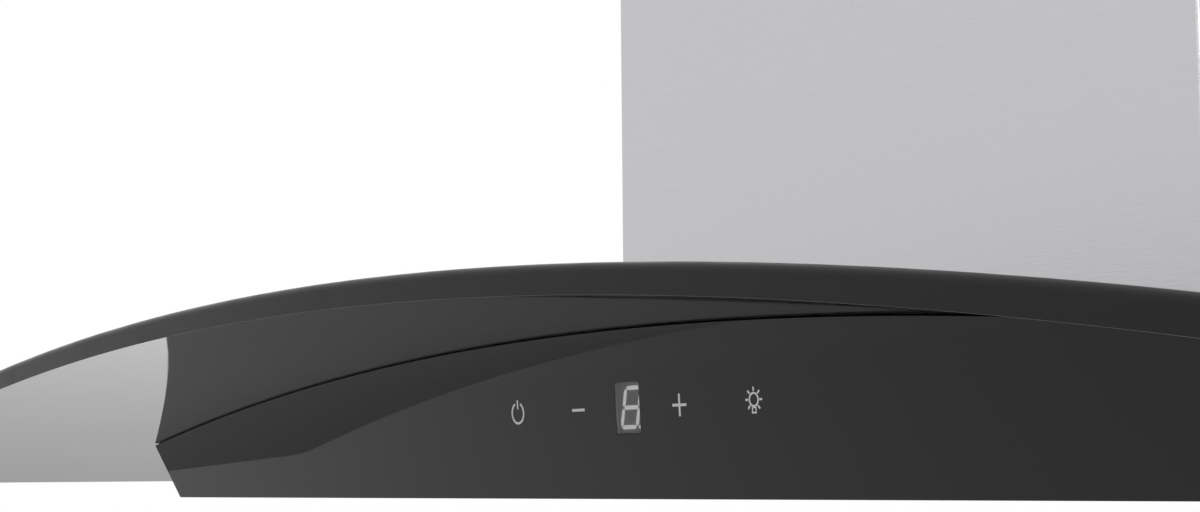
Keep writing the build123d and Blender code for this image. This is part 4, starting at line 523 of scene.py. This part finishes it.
for hand, side in (("left", -1), ("right", 1)):
    middle_x = side * FILTER_X
    middle = Vector((middle_x, FILTER_Y, 0))
    rails = bmesh.new()
    plate(rails, middle_x, FILTER_Y, FILTER_WIDTH - 2 * RAIL_INSIDE, FILTER_DEPTH - 2 * RAIL_INSIDE)
    leave_border(rails, RAIL_WIDTH)
    bmesh.ops.split_edges(rails, edges=[e for e in rails.edges if len(e.link_faces) == 2])
    for rail in rails.faces:
        inward = middle - rail.calc_center_median()
        along = Vector((0, 1, 0)) if abs(inward.x) > abs(inward.y) else Vector((1, 0, 0))
        for corner in rail.verts:
            corner.co -= along * copysign(MITRE_GAP, (corner.co - middle).dot(along))
    thicken(rails, FILTER_THICK, FILTER_FOOT)
    lips = [
        f for f in rails.faces
        if abs(f.normal.z) < 0.1 and f.normal.xy.dot(middle.xy - f.calc_center_median().xy) > 0.08
    ]
    bmesh.ops.inset_individual(rails, faces=lips, thickness=RAIL_SKIN, use_even_offset=True)
    for lip in lips:
        bmesh.ops.translate(rails, vec=-CHANNEL * lip.normal, verts=lip.verts)
    rolled = [e for e in rims(rails, FILTER_FOOT, FILTER_TOP) if e.calc_length() > 0.1]
    round_off(rails, rolled, RAIL_ROUND, 4)
    frame_piece = piece(f"filter_rails_{hand}", rails, mill_aluminium, body=f"filter_{hand}", smooth=35)
    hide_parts(f"filter_frame_{hand}")

    housing = bmesh.new()
    housing_y = FILTER_FRONT + HOUSING_DEPTH / 2 + HOUSING_INSIDE
    plate(housing, middle_x, housing_y, HOUSING_WIDTH, HOUSING_DEPTH)
    slot_width, slot_start, slot_end = LATCH_SLOT
    slot_left, slot_right = middle_x - slot_width / 2, middle_x + slot_width / 2
    cut_opening(housing, slot_left, slot_right, FILTER_FRONT + slot_start, FILTER_FRONT + slot_end)
    thicken(housing, HOUSING_FLOOR, FILTER_FOOT - HOUSING_PROUD)
    round_off(housing, rims(housing, FILTER_FOOT - HOUSING_PROUD), HOUSING_ROUND, 3)
    for across, width, foot, height in HOUSING_PARTS:
        part = bmesh.new()
        plate(part, middle_x + across, housing_y, width, HOUSING_DEPTH)
        thicken(part, height, FILTER_FOOT + foot)
        add_part(housing, part)
    housing_piece = piece(f"latch_housing_{hand}", housing, latch_black, body=f"filter_{hand}", smooth=35)

    layers = bmesh.new()
    for lift, long_way, short_way, turned in MESH_LAYERS:
        layer = bmesh.new()
        bmesh.ops.create_grid(
            layer, x_segments=MESH_OPENINGS, y_segments=MESH_OPENINGS, size=MESH_OPENINGS / 2 / sqrt(2)
        )
        bmesh.ops.rotate(layer, cent=(0, 0, 0), matrix=Matrix.Rotation(pi / 4, 3, "Z"), verts=layer.verts)
        bmesh.ops.scale(layer, vec=(long_way, short_way, 1), verts=layer.verts)
        bmesh.ops.rotate(layer, cent=(0, 0, 0), matrix=Matrix.Rotation(turned, 3, "Z"), verts=layer.verts)
        for out_x, out_y in ((1, 0), (-1, 0), (0, 1), (0, -1)):
            cut(layer, (out_x * MESH_HALF_X, out_y * MESH_HALF_Y, 0), (out_x, out_y, 0), clear_outer=True)
        bmesh.ops.translate(layer, vec=(middle_x, FILTER_Y, FILTER_FOOT + lift), verts=layer.verts)
        behind = [
            f for f in layer.faces
            if abs(f.calc_center_median().x - middle_x) < HOUSING_WIDTH / 2 + MESH_MARGIN
            and f.calc_center_median().y < FILTER_FRONT + HOUSING_DEPTH + MESH_MARGIN
        ]
        bmesh.ops.delete(layer, geom=behind, context="FACES")
        bmesh.ops.wireframe(
            layer,
            faces=layer.faces[:],
            thickness=MESH_STRAND,
            use_replace=True,
            use_boundary=True,
            use_even_offset=True,
        )
        add_part(layers, layer)
    mesh_piece = piece(f"filter_layers_{hand}", layers, mesh_aluminium, body=f"filter_{hand}")
    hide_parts(f"filter_mesh_{hand}")
spring_steel, tree, surface = paint("spring_steel", (0.34, 0.34, 0.35), 0.3, 1.0)
polish(tree, surface, noise(tree, 300.0), 0.22, 0.38)
dress(spring_steel, "latch_spring_left", "latch_spring_right")
dress(spring_steel, "latch_keeper_left", "latch_keeper_right", "filter_hinges")
dress(bright_zinc, "filter_pins_left", "filter_pins_right", "damper_pins")
dress(grained("latch_grey", (0.3, 0.3, 0.31), 0.45), "filter_latch_left", "filter_latch_right")

# ---- Lamps ----
# Turned satin chrome bezels snapped into the panel, domed lenses of frosted glass that rest on the bezels' lips,
# and die-cast bodies with cooling fins.

LAMP_X, LAMP_Y = 0.235, -0.334
BEZEL_OUTLINE = (  # radius, and height above the body's bottom edge, in millimetres
    (21.5, 4.1), (21.5, 3.5), (21.8, 3.1), (23.4, 2.5), (24.0, 2.4), (26.2, 2.35), (26.4, 2.55), (26.7, 2.55),
    (26.9, 2.35), (27.9, 2.4), (28.5, 2.65), (28.85, 3.05), (29.0, 3.5), (29.0, 3.8), (25.7, 3.8), (25.7, 12.0),
    (23.5, 12.0), (23.5, 4.1),
)
LENS_OUTLINE = (
    (0.0, 2.9), (4.0, 2.94), (8.0, 3.06), (12.0, 3.26), (16.0, 3.55), (19.0, 3.83), (21.3, 4.1), (23.3, 4.1),
    (23.3, 6.1), (0.0, 6.1),
)

satin_chrome, tree, surface = paint("satin_chrome", (0.5, 0.5, 0.51), 0.22, 1.0)
polish(tree, surface, noise(tree, 500.0), 0.16, 0.28)
tint(tree, surface, noise(tree, 120.0), (0.46, 0.46, 0.47), (0.54, 0.54, 0.55))
frosted, tree, surface = paint("frosted_lens", (0.82, 0.83, 0.83), 0.55)
glow(surface, (1.0, 0.98, 0.94), 0.12)
frost = noise(tree, 1400.0)
relief(tree, surface, frost, 0.00006)
tint(tree, surface, frost, (0.76, 0.77, 0.77), (0.86, 0.87, 0.87))


def spun(shape, outline, x, y, closed=True):
    """An outline of radius and height in millimetres, turned round an upright axis at x, y."""
    corners = [shape.verts.new((x + 0.001 * r, y, LEVEL + 0.001 * z)) for r, z in outline]
    after = corners[1:] + corners[:1] if closed else corners[1:]
    rails = [shape.edges.new(pair) for pair in zip(corners, after)]
    bmesh.ops.spin(
        shape, geom=corners + rails, cent=(x, y, 0), axis=(0, 0, 1), angle=2 * pi, steps=72, use_merge=True
    )
    bmesh.ops.remove_doubles(shape, verts=shape.verts, dist=TOUCHING)
    bmesh.ops.recalc_face_normals(shape, faces=shape.faces[:])


bezels, lenses = bmesh.new(), bmesh.new()
for side in (-1, 1):
    spun(bezels, BEZEL_OUTLINE, side * LAMP_X, LAMP_Y)
    spun(lenses, LENS_OUTLINE, side * LAMP_X, LAMP_Y, closed=False)
bezel_rings = piece("bezel_rings", bezels, satin_chrome, smooth=40)
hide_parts("lamp_bezels")
domed_lenses = piece("domed_lenses", lenses, frosted, smooth=40)
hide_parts("lamp_lenses")
cast_aluminium, tree, surface = paint("cast_aluminium", (0.5, 0.51, 0.52), 0.5, 1.0)
relief(tree, surface, noise(tree, 700.0), 0.00008)
dress(cast_aluminium, "lamp_bodies")

# ---- Blower ----
# A double-inlet moulded wheel on the motor's shaft, in a scroll of two moulded halves screwed together. The
# motor's can is enamelled, and its rotor and stator are stacks of thin iron sheets.

dress(grained("scroll_grey", (0.11, 0.11, 0.115), 0.5), "volute_left", "volute_right", "outlet_transition")
dress(grained("wheel_grey", (0.17, 0.17, 0.18), 0.45), "impeller")
dress(bright_zinc, "motor_shaft", "motor_bearings")
enamel, tree, surface = paint("motor_enamel", (0.035, 0.035, 0.04), 0.35)
relief(tree, surface, noise(tree, 260.0), 0.00005)
dress(enamel, "motor_can")
laminated, tree, surface = paint("laminated_iron", (0.2, 0.2, 0.21), 0.55, 1.0)
stack = tree.nodes.new("ShaderNodeTexWave")
stack.inputs["Scale"].default_value = 300.0
on_object(tree, stack)
relief(tree, surface, stack.outputs["Fac"], 0.0001)
dress(laminated, "motor_rotor", "motor_stator")

# ---- Duct collar and flaps ----
# A black moulded collar for a round duct, screwed to the top of the blower box, with two light flaps on steel
# pins that stop air coming back. The gland of the mains lead is of the same plastic.

collar_black = grained("collar_black", (0.025, 0.025, 0.026), 0.42)
dress(collar_black, "outlet_collar", "damper_flap_front", "damper_flap_rear", "cable_gland")

# ---- Electrical parts ----
# A moulded terminal box, the lamp driver in a case of the same white plastic, and the motor's capacitor, all on
# top of the blower box. The terminal block sits inside its box.

dress(grained("box_white", (0.66, 0.66, 0.64), 0.45), "junction_box", "lamp_driver")
dress(grained("terminal_white", (0.6, 0.6, 0.55), 0.4), "terminal_block")
dress(grained("capacitor_white", (0.68, 0.68, 0.67), 0.3), "capacitor")

# ---- Floor, light and camera ----
# A pale floor far below the hood, white surroundings and plain soft studio light from two lamps. The camera
# stands where the photograph was taken.

FLOOR_LEVEL, FLOOR_HALF = -1.9, 80.0
LIT_POINT = (0, -0.2, 0)  # both lamps face it
FLOOR_GLOW = 0.52  # brings the floor to white where it is looked at
PHOTO_WIDTH, FOCAL_LENGTH = 1200, 2184.0  # in pixels of the photograph
SENSOR_WIDTH = 36.0
CAMERA_PLACE = (0.57323, -0.81129, -0.19333)
YAW, PITCH, ROLL = 0.93963, 0.10176, -0.00833


def seen_directly(tree):
    """1 where a camera ray, a reflection or light through glass looks at the surroundings."""
    path = tree.nodes.new("ShaderNodeLightPath")
    seen = path.outputs["Is Camera Ray"]
    for kind in ("Is Glossy Ray", "Is Transmission Ray"):
        either = tree.nodes.new("ShaderNodeMath")
        either.operation = "MAXIMUM"
        tree.links.new(seen, either.inputs[0])
        tree.links.new(path.outputs[kind], either.inputs[1])
        seen = either.outputs["Value"]
    return seen


pale, tree, surface = paint("pale_floor", (0.8, 0.8, 0.8), 0.9)
tint(tree, surface, noise(tree, 6.0), (0.78, 0.78, 0.78), (0.82, 0.82, 0.82))
surface.inputs["Specular IOR Level"].default_value = 0.0
surface.inputs["Emission Color"].default_value = (1, 1, 1, 1)
tree.links.new(spread(tree, seen_directly(tree), 0.0, FLOOR_GLOW), surface.inputs["Emission Strength"])
ground = bmesh.new()
bmesh.ops.create_grid(ground, x_segments=1, y_segments=1, size=FLOOR_HALF)
bmesh.ops.translate(ground, vec=(0, 0, FLOOR_LEVEL), verts=ground.verts)
settled("studio_floor", ground, pale)

world = bpy.data.worlds.new("studio")
scene.world = world
world.use_nodes = True
sky = world.node_tree
ambient = sky.nodes["Background"]
ambient.inputs["Color"].default_value = (0.97, 0.98, 1.0, 1.0)
ambient.inputs["Strength"].default_value = 0.55
shown = sky.nodes.new("ShaderNodeBackground")
shown.inputs["Color"].default_value = (1, 1, 1, 1)
shown.inputs["Strength"].default_value = 1.0
choose = sky.nodes.new("ShaderNodeMixShader")
sky.links.new(seen_directly(sky), choose.inputs["Fac"])
sky.links.new(ambient.outputs["Background"], choose.inputs[1])
sky.links.new(shown.outputs["Background"], choose.inputs[2])
sky.links.new(choose.outputs["Shader"], sky.nodes["World Output"].inputs["Surface"])


def softbox(name, place, size, power):
    """A square area lamp that faces the hood."""
    light = bpy.data.lights.new(name, "AREA")
    light.size = size
    light.energy = power
    lamp = bpy.data.objects.new(name, light)
    lamp.location = place
    lamp.rotation_euler = (Vector(LIT_POINT) - Vector(place)).to_track_quat("-Z", "Y").to_euler()
    scene.collection.objects.link(lamp)


softbox("key_light", (1.6, -2.6, 2.3), 2.2, 60)
softbox("fill_light", (3.0, -0.9, 1.2), 1.6, 25)

camera_data = bpy.data.cameras.new("camera")
camera_data.sensor_width = SENSOR_WIDTH
camera_data.lens = FOCAL_LENGTH / PHOTO_WIDTH * SENSOR_WIDTH
camera_data.clip_start = 0.02
camera_data.clip_end = 100.0
camera = bpy.data.objects.new("camera", camera_data)
ahead = Vector((-sin(YAW) * cos(PITCH), cos(YAW) * cos(PITCH), sin(PITCH)))
right = Vector((cos(YAW), sin(YAW), 0))
up = right.cross(ahead)
right, up = cos(ROLL) * right + sin(ROLL) * up, cos(ROLL) * up - sin(ROLL) * right
turned = Matrix((right, up, -ahead)).transposed()
camera.matrix_world = Matrix.Translation(CAMERA_PLACE) @ turned.to_4x4()
scene.collection.objects.link(camera)
scene.camera = camera
scene.view_settings.view_transform = "Standard"
